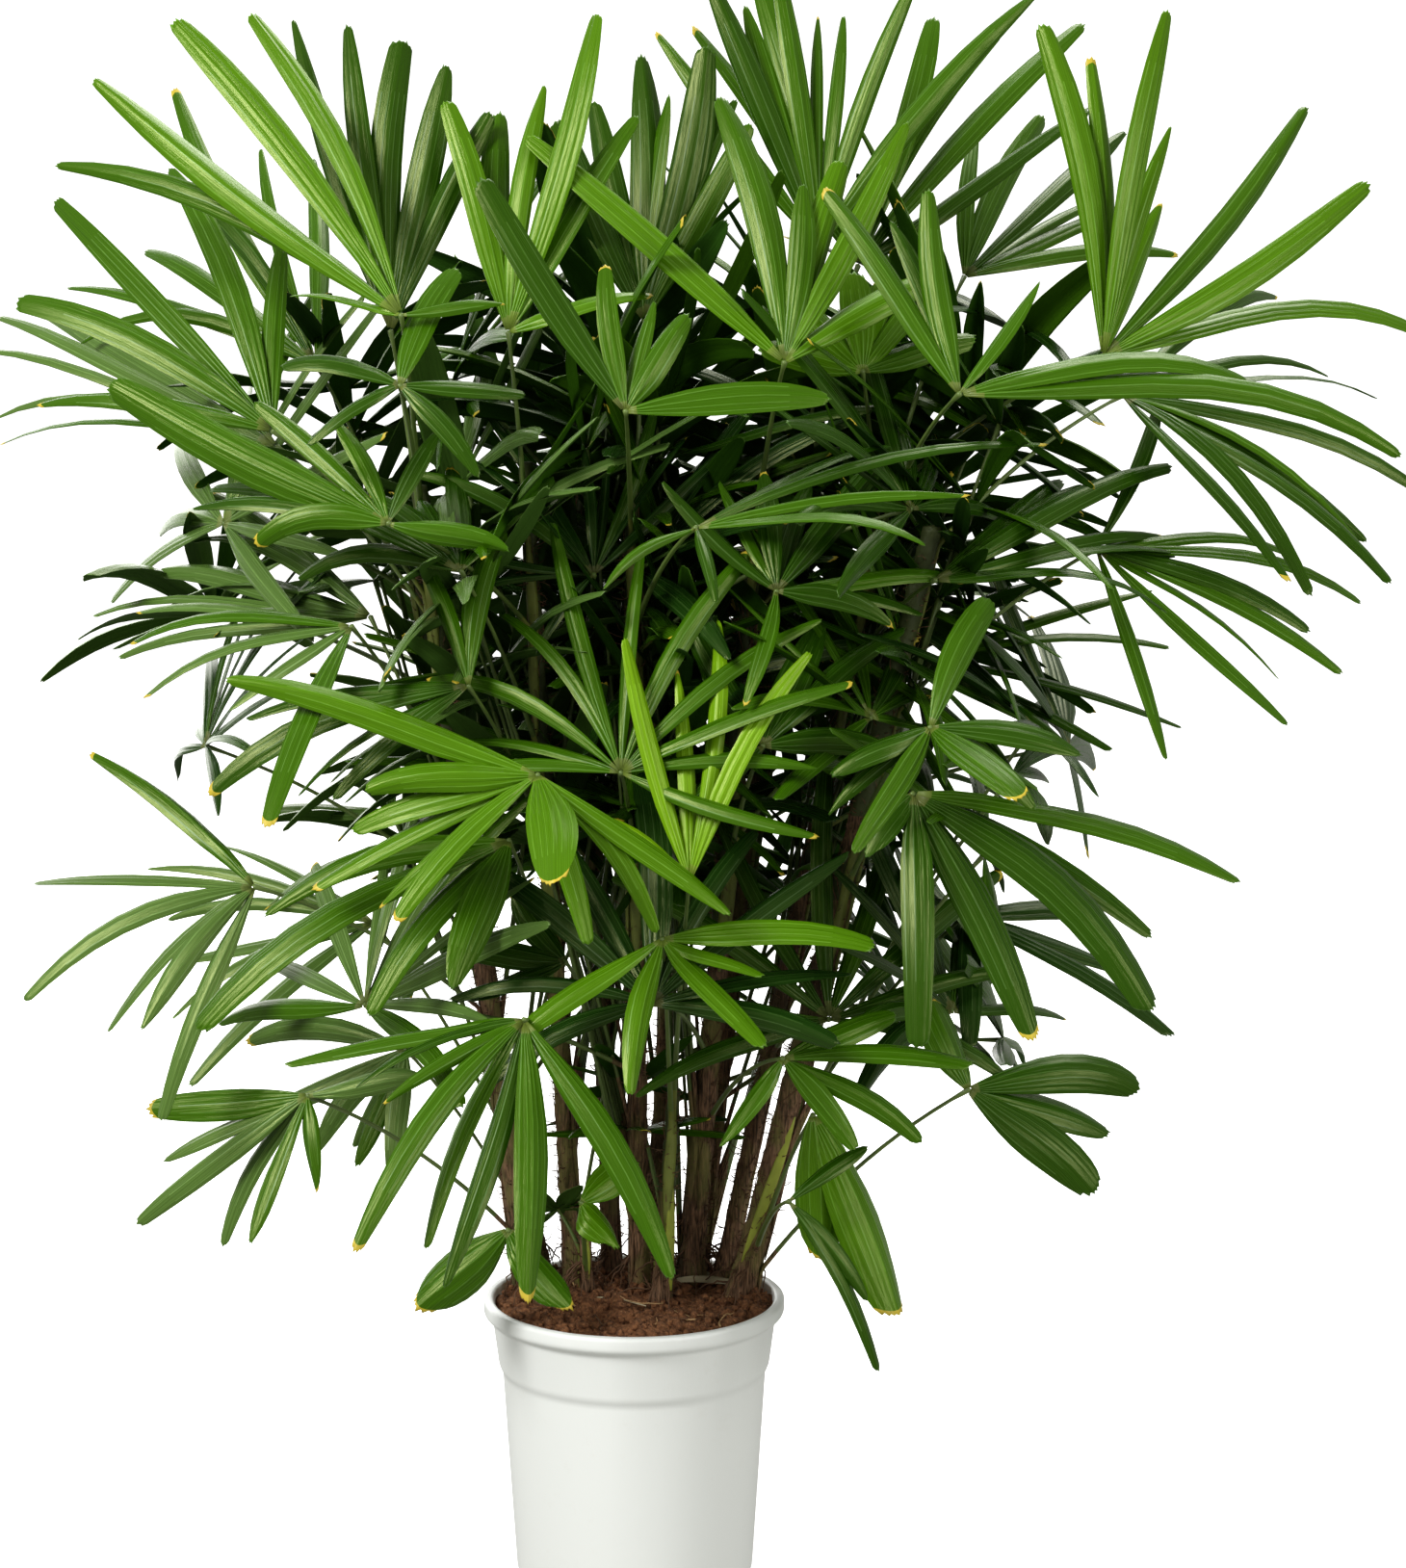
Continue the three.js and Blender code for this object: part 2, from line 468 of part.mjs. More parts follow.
// Two edges and the keel of a leaflet where it crosses each bend, and its tip. The leaflet
// arches up out of the face and droops to its tip; `halves` are the most degrees that it
// may fill on its two sides.
function bladeRings(frond, leaflet, halves, margin) {
  const { out } = frond.frame;
  const length = leaflet.length * leaflet.share + margin;
  const tip = onFace(frond, leaflet.clock + leaflet.swing, length)
    .addScaledVector(out, leaflet.lift + leaflet.dip);
  const bulge = out.clone().add(UP).normalize();
  const handle = frond.hub.clone().lerp(tip, 0.5)
    .addScaledVector(bulge, frond.arch * length)
    .addScaledVector(out, leaflet.lift * BLADE_LIFT_SHARE);
  const curve = new THREE.QuadraticBezierCurve3(frond.hub, handle, tip);
  const bends = leaflet.length < SHORT_BLADE ? SHORT_BENDS : LONG_BENDS;
  const rings = bends.map(([t, share]) => {
    const centre = curve.getPoint(t);
    const ahead = curve.getTangent(t);
    const side = out.clone().cross(ahead).normalize().applyAxisAngle(ahead, radians(leaflet.roll));
    const over = ahead.clone().cross(side);
    const reach = centre.distanceTo(frond.hub);
    const [left, right] = halves.map((angle) => (
      Math.min((leaflet.width / 2) * share, reach * Math.tan(radians(angle))) + 3 * margin
    ));
    const top = centre.clone().addScaledVector(over, margin);
    return [
      top.clone().addScaledVector(side, left),
      top.clone().addScaledVector(side, -right),
      centre.clone().addScaledVector(over, -BLADE_THICKNESS - 2 * margin),
    ];
  });
  return { rings, tip };
}

// One leaflet alone, a little fatter, to try whether there is room for it.
function paddedBlade(frond, leaflet) {
  const half = BLADE_ROOT_ANGLE;
  const { rings, tip } = bladeRings(frond, leaflet, [half, half], PAD);
  const clock = leaflet.clock + leaflet.swing;
  const root = [
    onFace(frond, clock - half, HUB_RADIUS),
    onFace(frond, clock + half, HUB_RADIUS),
    frond.hub.clone().addScaledVector(frond.frame.out, -HUB_KEEL),
  ];
  return loft([root, ...rings, [tip]]);
}

// The whole fan as one closed surface: a flat hub whose rim runs out into the leaflets.
function fanSolid(frond) {
  const { hub, frame } = frond;
  const points = [];
  const faces = [];
  const add = (point) => points.push(point) - 1;
  const top = add(hub.clone().addScaledVector(frame.out, HUB_TOP));
  const keel = add(hub.clone().addScaledVector(frame.out, -HUB_KEEL));
  const clockOf = (leaflet) => leaflet.clock + leaflet.swing;
  const blades = [...frond.leaflets].sort((a, b) => clockOf(a) - clockOf(b));
  const gapAfter = (i) => {
    const next = (i + 1) % blades.length;
    return clockOf(blades[next]) - clockOf(blades[i]) + (next === 0 ? 360 : 0);
  };
  const sectorAfter = (i) => Math.min(BLADE_SECTOR * gapAfter(i), BLADE_SECTOR_MOST);
  const halfAfter = (i) => Math.min(sectorAfter(i), BLADE_ROOT_ANGLE);
  const roots = blades.map((blade, i) => {
    const before = (i + blades.length - 1) % blades.length;
    return {
      left: add(onFace(frond, clockOf(blade) - halfAfter(before), HUB_RADIUS)),
      right: add(onFace(frond, clockOf(blade) + halfAfter(i), HUB_RADIUS)),
      sectors: [sectorAfter(before), sectorAfter(i)],
    };
  });
  blades.forEach((blade, i) => {
    const { left, right, sectors } = roots[i];
    const { rings, tip } = bladeRings(frond, blade, sectors, 0);
    const bends = rings.map((corners) => corners.map(add));
    const [leftEdge, rightEdge, rib] = bends[0];
    faces.push(top, right, left, left, right, rightEdge, left, rightEdge, leftEdge);
    faces.push(keel, left, rib, keel, rib, right, left, leftEdge, rib, rightEdge, right, rib);
    for (let k = 0; k + 1 < bends.length; k += 1) {
      for (const [a, b] of [[0, 1], [1, 2], [2, 0]]) {
        faces.push(bends[k][a], bends[k][b], bends[k + 1][b]);
        faces.push(bends[k][a], bends[k + 1][b], bends[k + 1][a]);
      }
    }
    const end = add(tip);
    const [a, b, c] = bends.at(-1);
    faces.push(a, b, end, b, c, end, c, a, end);
    // the bare rim up to the next leaflet
    const from = clockOf(blade) + halfAfter(i);
    const to = clockOf(blade) + gapAfter(i) - halfAfter(i);
    const steps = Math.ceil((to - from) / HUB_STEP);
    let last = right;
    for (let k = 1; k <= steps; k += 1) {
      const next = k === steps
        ? roots[(i + 1) % blades.length].left
        : add(onFace(frond, mix(from, to, k / steps), HUB_RADIUS));
      faces.push(top, next, last, keel, last, next);
      last = next;
    }
  });
  return solid(points.flatMap((p) => p.toArray()), faces);
}

// Gives each leaflet its own width, roll and dip: the fewer there are, the wider.
function finishLeaflets(frond) {
  const random = seeded(LEAFLET_SEED + frond.number);
  const share = FAN_WIDTH / frond.leaflets.length;
  const [least, full, most] = BLADE_GROWTH;
  frond.leaflets.forEach((leaflet) => {
    const growth = mix(least, full, Math.min(leaflet.length / BLADE_FULL_LENGTH, most));
    const width = share * growth * random(...BLADE_WIDTH_VARIES);
    leaflet.width = clamp(width, BLADE_WIDTH_LEAST, BLADE_WIDTH_MOST);
    leaflet.roll = random(-BLADE_ROLL, BLADE_ROLL);
    leaflet.dip = leaflet.length * random(...BLADE_DIP);
  });
  frond.arch = BLADE_ARCH * random(...BLADE_ARCH_VARIES);
}

// ---------------------------------------------------------------- room for each piece
const placed = [];

function boxesMeet(a, b) {
  return [0, 1, 2].every((i) => a.min[i] <= b.max[i] && b.min[i] <= a.max[i]);
}

// Whether a fattened piece touches nothing but what its own owners placed.
function isClear(padded, owners) {
  const box = padded.boundingBox();
  return placed.every((other) => owners.includes(other.owner)
    || !boxesMeet(box, other.box)
    || padded.intersect(other.piece).isEmpty());
}

function place(owner, piece) {
  placed.push({ owner, piece, box: piece.boundingBox() });
  return piece;
}

// Sideways and upward bends that a petiole tries in turn.
function petioleBends() {
  const bends = [[0, 0]];
  for (const size of PETIOLE_BENDS) {
    bends.push([size, 0], [-size, 0], [0, size], [0, -size], [size, size], [-size, size]);
  }
  return bends;
}

// Changes that a leaflet tries in turn: lifts off its face, swings on it, then shorter.
function bladeShifts() {
  const shifts = [];
  for (const share of BLADE_SHARES) {
    for (const swing of BLADE_SWINGS) {
      for (const lift of BLADE_LIFTS) {
        shifts.push({ share, swing, lift });
      }
    }
  }
  return shifts;
}

// Settles a petiole and the hub at its end, and returns it, or null where there is no room.
// Petioles from one sheath may touch, since they are one solid.
function placePetiole(frond, owners) {
  const nominal = frond.hub.clone();
  for (const offset of HUB_OFFSETS) {
    frond.hub = nominal.clone().addScaledVector(frond.frame.out, offset);
    const hub = hubSolid(frond, PAD);
    const bend = petioleBends().find((option) => (
      isClear(petioleSolid(frond, option, PAD).add(hub), owners)
    ));
    if (bend) {
      place(frond, hub);
      return place(frond, petioleSolid(frond, bend, 0));
    }
  }
  return null;
}

// Settles a leaflet where there is room for it and says whether there was any.
function placeBlade(frond, leaflet) {
  return bladeShifts().some((shift) => {
    Object.assign(leaflet, shift);
    if (leaflet.length * shift.share < BLADE_SHORTEST) return false;
    const padded = paddedBlade(frond, leaflet);
    if (!isClear(padded, [frond])) return false;
    place(frond, padded);
    return true;
  });
}

// ---------------------------------------------------------------- the plant
const plant = new THREE.Group();
plant.add(makePot(), makeSoil());

for (const [name, cane] of Object.entries(CANES)) {
  const piece = place(`cane_${name}`, caneLoft(cane, CANE_FOOT, cane.top, 0));
  plant.add(meshOf(`cane_${name}`, piece, CANE_FINISH));
}

const fronds = FRONT_FRONDS.map(frontFrond);
for (const [name, cane] of Object.entries(CANES)) {
  for (let k = 0; k < (cane.extra ?? 0); k += 1) {
    fronds.push(ruleFrond(name, k, fronds.length));
  }
}
fronds.forEach(finishLeaflets);

// Keeps the places where fronds leave a cane apart, between its foot and its tip.
function spaceOut(own, cane) {
  const highest = cane.top - SHEATH_INSET;
  own.forEach((frond, k) => {
    if (k > 0) frond.attach = Math.max(frond.attach, own[k - 1].attach + FROND_SPACING);
  });
  own.forEach((frond, k) => {
    frond.attach = Math.min(frond.attach, highest - FROND_SPACING * (own.length - 1 - k));
  });
}

// Neighbouring fronds on a cane share one sheath, and so one node.
const groups = [];
for (const [name, cane] of Object.entries(CANES)) {
  const own = fronds.filter((frond) => frond.caneName === name);
  own.sort((a, b) => a.attach - b.attach);
  spaceOut(own, cane);
  const count = Math.max(1, Math.floor(own.length / FRONDS_PER_SHEATH));
  for (let k = 0; k < count; k += 1) {
    const from = Math.round((k * own.length) / count);
    const to = Math.round(((k + 1) * own.length) / count);
    const members = own.slice(from, to);
    const below = own[from - 1]?.attach ?? -Infinity;
    const above = own[to]?.attach ?? Infinity;
    const first = members[0].attach;
    const last = members.at(-1).attach;
    const low = Math.max(first - SHEATH_MARGIN, (first + below) / 2 + GAP);
    const high = Math.min(last + SHEATH_MARGIN, (last + above) / 2 - GAP);
    const node = `${name}_fronds_${k + 1}`;
    groups.push({ node, members, sheath: place(node, sheathSolid(cane, low, high)) });
  }
}

// All petioles are settled before the leaflets, and the front fronds before the others.
const seated = fronds.filter((frond) => {
  const { node, members } = groups.find((group) => group.members.includes(frond));
  frond.petiole = placePetiole(frond, [node, ...members]);
  return frond.petiole !== null;
});
for (const frond of seated) {
  frond.leaflets = frond.leaflets.filter((leaflet) => placeBlade(frond, leaflet));
}
for (const { node, members, sheath } of groups) {
  const own = members.filter((frond) => seated.includes(frond));
  const pieces = own.flatMap((frond) => [frond.petiole, fanSolid(frond)]);
  plant.add(meshOf(node, unite([sheath, ...pieces]), FROND_FINISH));
}

export default plant;
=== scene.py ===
# %% [markdown]
# # A lady palm in its nursery pot
#
# A lady palm grows as a clump of thin canes wrapped in brown fibre. Each cane carries a few fans on
# long stalks, and each fan is cut nearly to its middle into pleated leaflets with toothed tips.
#
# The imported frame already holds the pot, the soil, thirteen canes and every fan as plain solids at
# their real size. This lesson grows the same plant again by the same rule, only finer, and hides the
# plain solids behind it. Nothing is moved: each new piece stands where its solid stands.

# %% Load the frame
import math

import bpy
import numpy as np
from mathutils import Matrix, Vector, noise


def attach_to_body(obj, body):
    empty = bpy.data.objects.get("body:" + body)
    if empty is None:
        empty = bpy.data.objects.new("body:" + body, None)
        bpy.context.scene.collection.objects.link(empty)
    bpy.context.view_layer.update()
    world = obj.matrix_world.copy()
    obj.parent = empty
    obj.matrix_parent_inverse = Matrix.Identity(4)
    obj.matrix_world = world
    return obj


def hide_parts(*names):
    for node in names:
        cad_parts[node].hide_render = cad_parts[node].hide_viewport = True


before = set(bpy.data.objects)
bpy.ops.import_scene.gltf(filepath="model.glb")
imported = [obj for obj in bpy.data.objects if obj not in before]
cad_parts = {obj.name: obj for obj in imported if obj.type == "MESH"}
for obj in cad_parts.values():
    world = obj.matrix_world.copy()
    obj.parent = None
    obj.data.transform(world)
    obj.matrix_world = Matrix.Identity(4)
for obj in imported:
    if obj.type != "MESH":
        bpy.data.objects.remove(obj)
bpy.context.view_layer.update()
NODES = sorted(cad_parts)
MM = 0.001  # the plant is grown in millimetres, and a mesh is in metres


# %% [markdown]
# ## A bunch of small pieces
#
# A crown has hundreds of leaflets. As objects of their own they would be slow to handle, so each kind
# is gathered in one long list of points and faces and becomes a single mesh. Numpy writes such a list
# straight into Blender's mesh, which takes a fraction of the time of adding faces one by one.

# %% Gather points and faces, and make one mesh of them
class Bunch:
    """Points in millimetres and faces of three or four corners, with a finish for each face."""

    def __init__(self):
        self.points, self.faces, self.kinds, self.grain, self.folds = [], [], [], [], []
        self.size = 0

    def add(self, points, faces, kinds=0, grain=None, folds=None):
        """One more piece. kinds is the finish of all its faces, or an array for each face array."""
        points = np.asarray(points, float)
        count = len(points)
        for k, block in enumerate(faces):
            self.faces.append(block + self.size)
            self.kinds.append(np.full(len(block), kinds) if isinstance(kinds, int) else kinds[k])
        self.points.append(points)
        self.grain.append(np.zeros((count, 2)) if grain is None else grain)
        self.folds.append(np.zeros(count, int) if folds is None else folds)
        self.size += count

    def make(self, name, finishes):
        """The mesh object. An edge whose two ends carry the same fold number stays sharp."""
        mesh = bpy.data.meshes.new(name)
        corners = np.concatenate([block.ravel() for block in self.faces])
        sizes = np.concatenate([np.full(len(block), block.shape[1]) for block in self.faces])
        kinds = np.concatenate(self.kinds)
        mesh.vertices.add(self.size)
        mesh.vertices.foreach_set("co", (np.concatenate(self.points) * MM).ravel())
        mesh.loops.add(len(corners))
        mesh.loops.foreach_set("vertex_index", corners)
        mesh.polygons.add(len(sizes))
        mesh.polygons.foreach_set("loop_start", np.cumsum(sizes) - sizes)
        mesh.polygons.foreach_set("material_index", kinds)
        mesh.polygons.foreach_set("use_smooth", np.ones(len(sizes), bool))
        mesh.update(calc_edges=True)
        layer = mesh.uv_layers.new(name="grain")
        layer.data.foreach_set("uv", np.concatenate(self.grain)[corners].ravel())
        ends = np.zeros(len(mesh.edges) * 2, int)
        mesh.edges.foreach_get("vertices", ends)
        fold = np.concatenate(self.folds)[ends.reshape(-1, 2)]
        sharp = (fold[:, 0] > 0) & (fold[:, 0] == fold[:, 1])
        mesh.attributes.new("sharp_edge", "BOOLEAN", "EDGE").data.foreach_set("value", sharp)
        for finish in finishes:
            mesh.materials.append(finish)
        piece = bpy.data.objects.new(name, mesh)
        bpy.context.scene.collection.objects.link(piece)
        print(f"{name}: {int((sizes - 2).sum())} triangles")
        return piece


def seat(piece, nodes):
    """The piece stands for these solids, which it hides, and rides on the plant's body."""
    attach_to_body(piece, "root")
    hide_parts(*nodes)


# %% Grids, tubes and turned shapes
def mix(low, high, share):
    """A share of the way from low to high."""
    return low + (high - low) * share


def grid_faces(rows, columns, start=0, wrap=False):
    """Quads between the neighbouring rows of a grid of points."""
    low = np.arange(rows - 1)[:, None] * columns
    here = np.arange(columns if wrap else columns - 1)[None, :]
    there = (here + 1) % columns
    quads = np.stack([low + here, low + there, low + columns + there, low + columns + here], -1)
    return quads.reshape(-1, 4) + start


def closed_faces(rows, columns):
    """Faces of a stack of rings, then of the two caps to the end points that follow the rings."""
    ring = np.arange(columns)
    after = (ring + 1) % columns
    last, end = (rows - 1) * columns, rows * columns
    first_cap = np.stack([np.full(columns, end), after, ring], -1)
    last_cap = np.stack([np.full(columns, end + 1), last + ring, last + after], -1)
    return [grid_faces(rows, columns, wrap=True), first_cap, last_cap]


def full_turn(steps):
    """The angles of even steps round a circle."""
    return np.linspace(0, 2 * math.pi, steps, endpoint=False)


def heading(angle):
    """The level direction at an angle from +X."""
    return np.array([math.cos(angle), math.sin(angle), 0])


def bow(start, handle, end, shares):
    """Points of a curve from start to end that leans over to its handle."""
    t = np.asarray(shares)[:, None]
    return (1 - t) ** 2 * start + 2 * t * (1 - t) * handle + t ** 2 * end


def unit(vectors):
    """The same directions, each with a length of 1."""
    return vectors / np.linalg.norm(vectors, axis=-1, keepdims=True)


ASIDE = (0.31, 0.95, 0.05)  # no path here starts along this


def path_frames(path):
    """Directions along a path and across it, carried on from point to point without twisting."""
    ahead = unit(np.gradient(path, axis=0))
    across = [unit(np.cross(ahead[0], ASIDE))]
    for direction in ahead[1:]:
        across.append(unit(across[-1] - direction * np.dot(across[-1], direction)))
    across = np.array(across)
    return ahead, across, np.cross(ahead, across)


START_POINT = 0.4  # how far a tube's ends stand out in a point, as shares of their radius
END_POINT = 0.6


def tube(path, radii, sides, flatten=None):
    """A closed tube round a path. flatten is a direction and the share of the radius left along it."""
    path = np.asarray(path, float)
    ahead, across, over = path_frames(path)
    turn = full_turn(sides)[:, None]
    spokes = across[:, None] * np.cos(turn) + over[:, None] * np.sin(turn)
    if flatten is not None:
        away, share = flatten
        depth = spokes @ away
        spokes = spokes - depth[..., None] * away * (1 - share[:, None, None])
    points = path[:, None] + spokes * np.asarray(radii)[:, None, None]
    ends = [path[0] - ahead[0] * radii[0] * START_POINT, path[-1] + ahead[-1] * radii[-1] * END_POINT]
    return np.concatenate([points.reshape(-1, 3), ends]), closed_faces(len(path), sides)


def ring_points(profile, columns):
    """A ring of points round the axis for each (radius, height) point of a profile."""
    turn = full_turn(columns)
    radius, height = np.asarray(profile, float)[..., None].transpose(1, 0, 2)
    rings = radius * np.cos(turn), radius * np.sin(turn), np.repeat(height, columns, 1)
    return np.stack(rings, -1).reshape(-1, 3)


def turned(profile, columns):
    """A profile of (radius, height) points that starts and ends on the axis, turned round it."""
    points = ring_points(profile[1:-1], columns)
    poles = [(0, 0, profile[0][1]), (0, 0, profile[-1][1])]
    return np.concatenate([points, poles]), closed_faces(len(profile) - 2, columns)


# %% [markdown]
# ## Writing a finish as a formula
#
# Node trees are easy to draw and hard to read back. Here a socket is wrapped in a small class whose
# plus, minus and times add the Math nodes, so that a mask can be written as `1 - dust * 0.4`.
# Colours are mixed with Mix nodes and directions scaled with Vector Math, since a Math node would turn
# them grey.

# %% A wrapped socket and a finish
class Wire:
    """An output socket that makes Math nodes when it is used in a sum."""

    def __init__(self, finish, socket):
        self.finish, self.socket = finish, socket

    def _sum(self, operation, first, second):
        return self.finish.node("ShaderNodeMath", {"operation": operation}, {0: first, 1: second})

    def __add__(self, other):
        return self._sum("ADD", self, other)

    __radd__ = __add__

    def __sub__(self, other):
        return self._sum("SUBTRACT", self, other)

    def __rsub__(self, other):
        return self._sum("SUBTRACT", other, self)

    def __mul__(self, other):
        return self._sum("MULTIPLY", self, other)

    __rmul__ = __mul__


class Finish:
    """A material with one Principled shader, and the nodes that feed it."""

    def __init__(self, name, **constants):
        self.material = bpy.data.materials.new(name)
        self.material.use_nodes = True
        self.nodes = self.material.node_tree.nodes
        self.links = self.material.node_tree.links
        self.shader = self.nodes["Principled BSDF"]
        for socket, value in constants.items():
            self.shader.inputs[socket.replace("_", " ")].default_value = value

    def node(self, kind, settings=None, sockets=None, output=0):
        """Adds a node: first its settings, then the values or links of its sockets."""
        made = self.nodes.new(kind)
        for name, value in (settings or {}).items():
            if name == "stops":
                for element, (place, level) in zip(made.color_ramp.elements, value):
                    element.position = place
                    element.color = (level, level, level, 1)
            else:
                setattr(made, name, value)
        for name, value in (sockets or {}).items():
            if isinstance(value, Wire):
                self.links.new(value.socket, made.inputs[name])
            else:
                made.inputs[name].default_value = value
        return Wire(self, made.outputs[output])

    def place(self, stretch=(1, 1, 1)):
        """The object's own coordinates in metres, stretched along each axis."""
        here = self.node("ShaderNodeTexCoord", output="Object")
        return self.node("ShaderNodeVectorMath", {"operation": "MULTIPLY"}, {0: here, 1: stretch})

    def grain(self, stretch):
        """The leaf's own coordinates, across and along it in millimetres, stretched."""
        here = self.node("ShaderNodeUVMap", {"uv_map": "grain"})
        return self.node("ShaderNodeVectorMath", {"operation": "MULTIPLY"}, {0: here, 1: stretch})

    def noise(self, where, scale, detail=2, roughness=0.5):
        sockets = {"Vector": where, "Scale": scale, "Detail": detail, "Roughness": roughness}
        return self.node("ShaderNodeTexNoise", None, sockets)

    def ramp(self, value, low, high):
        """0 below low, 1 above high, and evenly in between."""
        return self.node("ShaderNodeValToRGB", {"stops": [(low, 0), (high, 1)]}, {0: value})

    def mix(self, share, first, second):
        opaque = [c if isinstance(c, Wire) else (*c, 1) for c in (first, second)]
        sockets = {0: share, 6: opaque[0], 7: opaque[1]}
        return self.node("ShaderNodeMix", {"data_type": "RGBA"}, sockets, output=2)

    def relief(self, height, depth):
        """Feeds a height between 0 and 1 to the shader's normal, as relief of that depth in metres."""
        bump = self.node("ShaderNodeBump", None, {"Distance": depth, "Height": height})
        self.feed("Normal", bump)

    def feed(self, socket, wire):
        self.links.new(wire.socket, self.shader.inputs[socket])


def tinted(colour, share):
    """A colour made lighter or darker by a share."""
    return tuple(min(1.0, channel * share) for channel in colour)


# %% [markdown]
# ## Camera, floor and light
#
# A long lens from three metres away keeps the fans in front from looking larger than those behind.
# The floor and the surroundings are nearly white and the lights are large, so that shadows stay soft
# and the depths of the crown are dark mostly because so little light gets in between the fans; darker
# leaf tones on the fans inside add painted shade.

# %% The camera
CAMERA_AT = (0.055, -3.0, 1.118)
CAMERA_PITCH = 8.95  # degrees down
FOCAL_PIXELS = 4035
PICTURE_HEIGHT = 1628
SENSOR = 36.0  # millimetres, over the picture's height

lens = bpy.data.cameras.new("camera")
lens.sensor_fit = "VERTICAL"
lens.sensor_height = SENSOR
lens.lens = FOCAL_PIXELS / PICTURE_HEIGHT * SENSOR
camera = bpy.data.objects.new("camera", lens)
camera.location = CAMERA_AT
camera.rotation_euler = (math.radians(90 - CAMERA_PITCH), 0, 0)
bpy.context.scene.collection.objects.link(camera)
bpy.context.scene.camera = camera
bpy.context.scene.view_settings.view_transform = "Standard"
bpy.context.scene.view_settings.look = "Medium High Contrast"
print("lens", round(lens.lens, 1), "mm")

# %% A pale round sweep
# The floor runs up into a round wall, so it looks the same from every side. Only the camera sees it:
# if it also shone on the leaves, the dark depths of the crown would turn grey.
SWEEP_FLAT = 7000
SWEEP_CURVE = 3000
SWEEP_TOP = 9000
SWEEP_STEPS = 8
SWEEP_COLUMNS = 64
SWEEP_GLOW = 0.64

pale = Finish(
    "pale_sweep", Base_Color=(0.9, 0.9, 0.9, 1), Roughness=0.9,
    Emission_Color=(1, 1, 1, 1), Emission_Strength=SWEEP_GLOW,
)
sweep_profile = [(SWEEP_FLAT * share, 0) for share in (0, 0.1, 0.4, 1)]
for step in range(1, SWEEP_STEPS + 1):
    angle = math.pi / 2 * step / SWEEP_STEPS
    out, up = SWEEP_CURVE * math.sin(angle), SWEEP_CURVE * (1 - math.cos(angle))
    sweep_profile.append((SWEEP_FLAT + out, up))
sweep_profile.append((SWEEP_FLAT + SWEEP_CURVE, SWEEP_TOP))
sweep_bunch = Bunch()
sweep_faces = grid_faces(len(sweep_profile), SWEEP_COLUMNS, wrap=True)
sweep_bunch.add(ring_points(sweep_profile, SWEEP_COLUMNS), [sweep_faces])
sweep = sweep_bunch.make("sweep", [pale.material])
for rays in ("visible_diffuse", "visible_glossy", "visible_transmission", "visible_shadow"):
    setattr(sweep, rays, False)

# %% Soft studio light
SKY = 0.40
SKY_TINT = (1, 1, 0.94, 1)
CROWN = (0, 0, 0.75)  # what the lights are turned to


def soft_light(name, at, size, power):
    """A square area light, turned to the crown."""
    data = bpy.data.lights.new(name, "AREA")
    data.size = size
    data.energy = power
    light = bpy.data.objects.new(name, data)
    light.location = at
    light.rotation_euler = (Vector(CROWN) - Vector(at)).to_track_quat("-Z", "Y").to_euler()
    bpy.context.scene.collection.objects.link(light)


world = bpy.data.worlds.new("studio")
world.use_nodes = True
background = world.node_tree.nodes["Background"]
background.inputs["Color"].default_value = SKY_TINT
background.inputs["Strength"].default_value = SKY
bpy.context.scene.world = world
soft_light("key", (-2.6, -2.4, 3.2), 1.7, 165)
soft_light("fill", (2.6, -2.6, 1.7), 1.6, 48)
soft_light("back", (0.6, 2.0, 3.8), 2.0, 70)
soft_light("low_back", (-1.2, 3.0, 1.3), 2.4, 40)
print("lights: key, fill, two at the back and a sky of", SKY)

# %% [markdown]
# ## The finishes
#
# The pot is moulded white plastic: nearly even, with a satin gloss that changes a little from place to
# place. Soil and bark take their colour from noise at two or three scales, stretched along the cane
# for the bark's fibres; on the bark, one noise also lays dark patches of painted shade. A leaf has a
# plain colour for each fan, partly painted light and shade, and only fine streaks along its veins
# vary, so that the joined leaves keep their colours wherever the model goes.

# %% Pot and soil
PLASTIC = (0.80, 0.815, 0.79)
PLASTIC_DUST = (0.64, 0.60, 0.52)
white = Finish("white_plastic", Base_Color=(*PLASTIC, 1), IOR=1.46)
cloud = white.noise(white.place(), scale=9, detail=3)
scuff = white.noise(white.place((1, 1, 0.35)), scale=160, detail=4, roughness=0.7)
dust = white.ramp(white.noise(white.place(), scale=60, detail=5, roughness=0.75), low=0.58, high=0.74)
white.feed("Base Color", white.mix(dust * 0.1, PLASTIC, PLASTIC_DUST))
white.feed("Roughness", 0.27 + cloud * 0.12 + scuff * 0.06)
white.relief(cloud * 0.8 + scuff * 0.2, depth=0.0006)

SOIL_DARK = (0.095, 0.042, 0.019)
SOIL_BROWN = (0.40, 0.185, 0.080)
SOIL_PALE = (0.50, 0.28, 0.14)
earth = Finish("potting_soil", Roughness=0.95)
grains = earth.noise(earth.place(), scale=210, detail=6, roughness=0.72)
patches = earth.noise(earth.place(), scale=34, detail=3)
fleck = earth.ramp(earth.noise(earth.place(), scale=620), low=0.62, high=0.70)
brown = earth.mix(earth.ramp(grains, low=0.36, high=0.62), SOIL_DARK, SOIL_BROWN)
brown = earth.mix(patches * 0.45, brown, SOIL_DARK)
earth.feed("Base Color", earth.mix(fleck * 0.55, brown, SOIL_PALE))
earth.relief(grains, depth=0.004)
print("finishes: pot and soil")

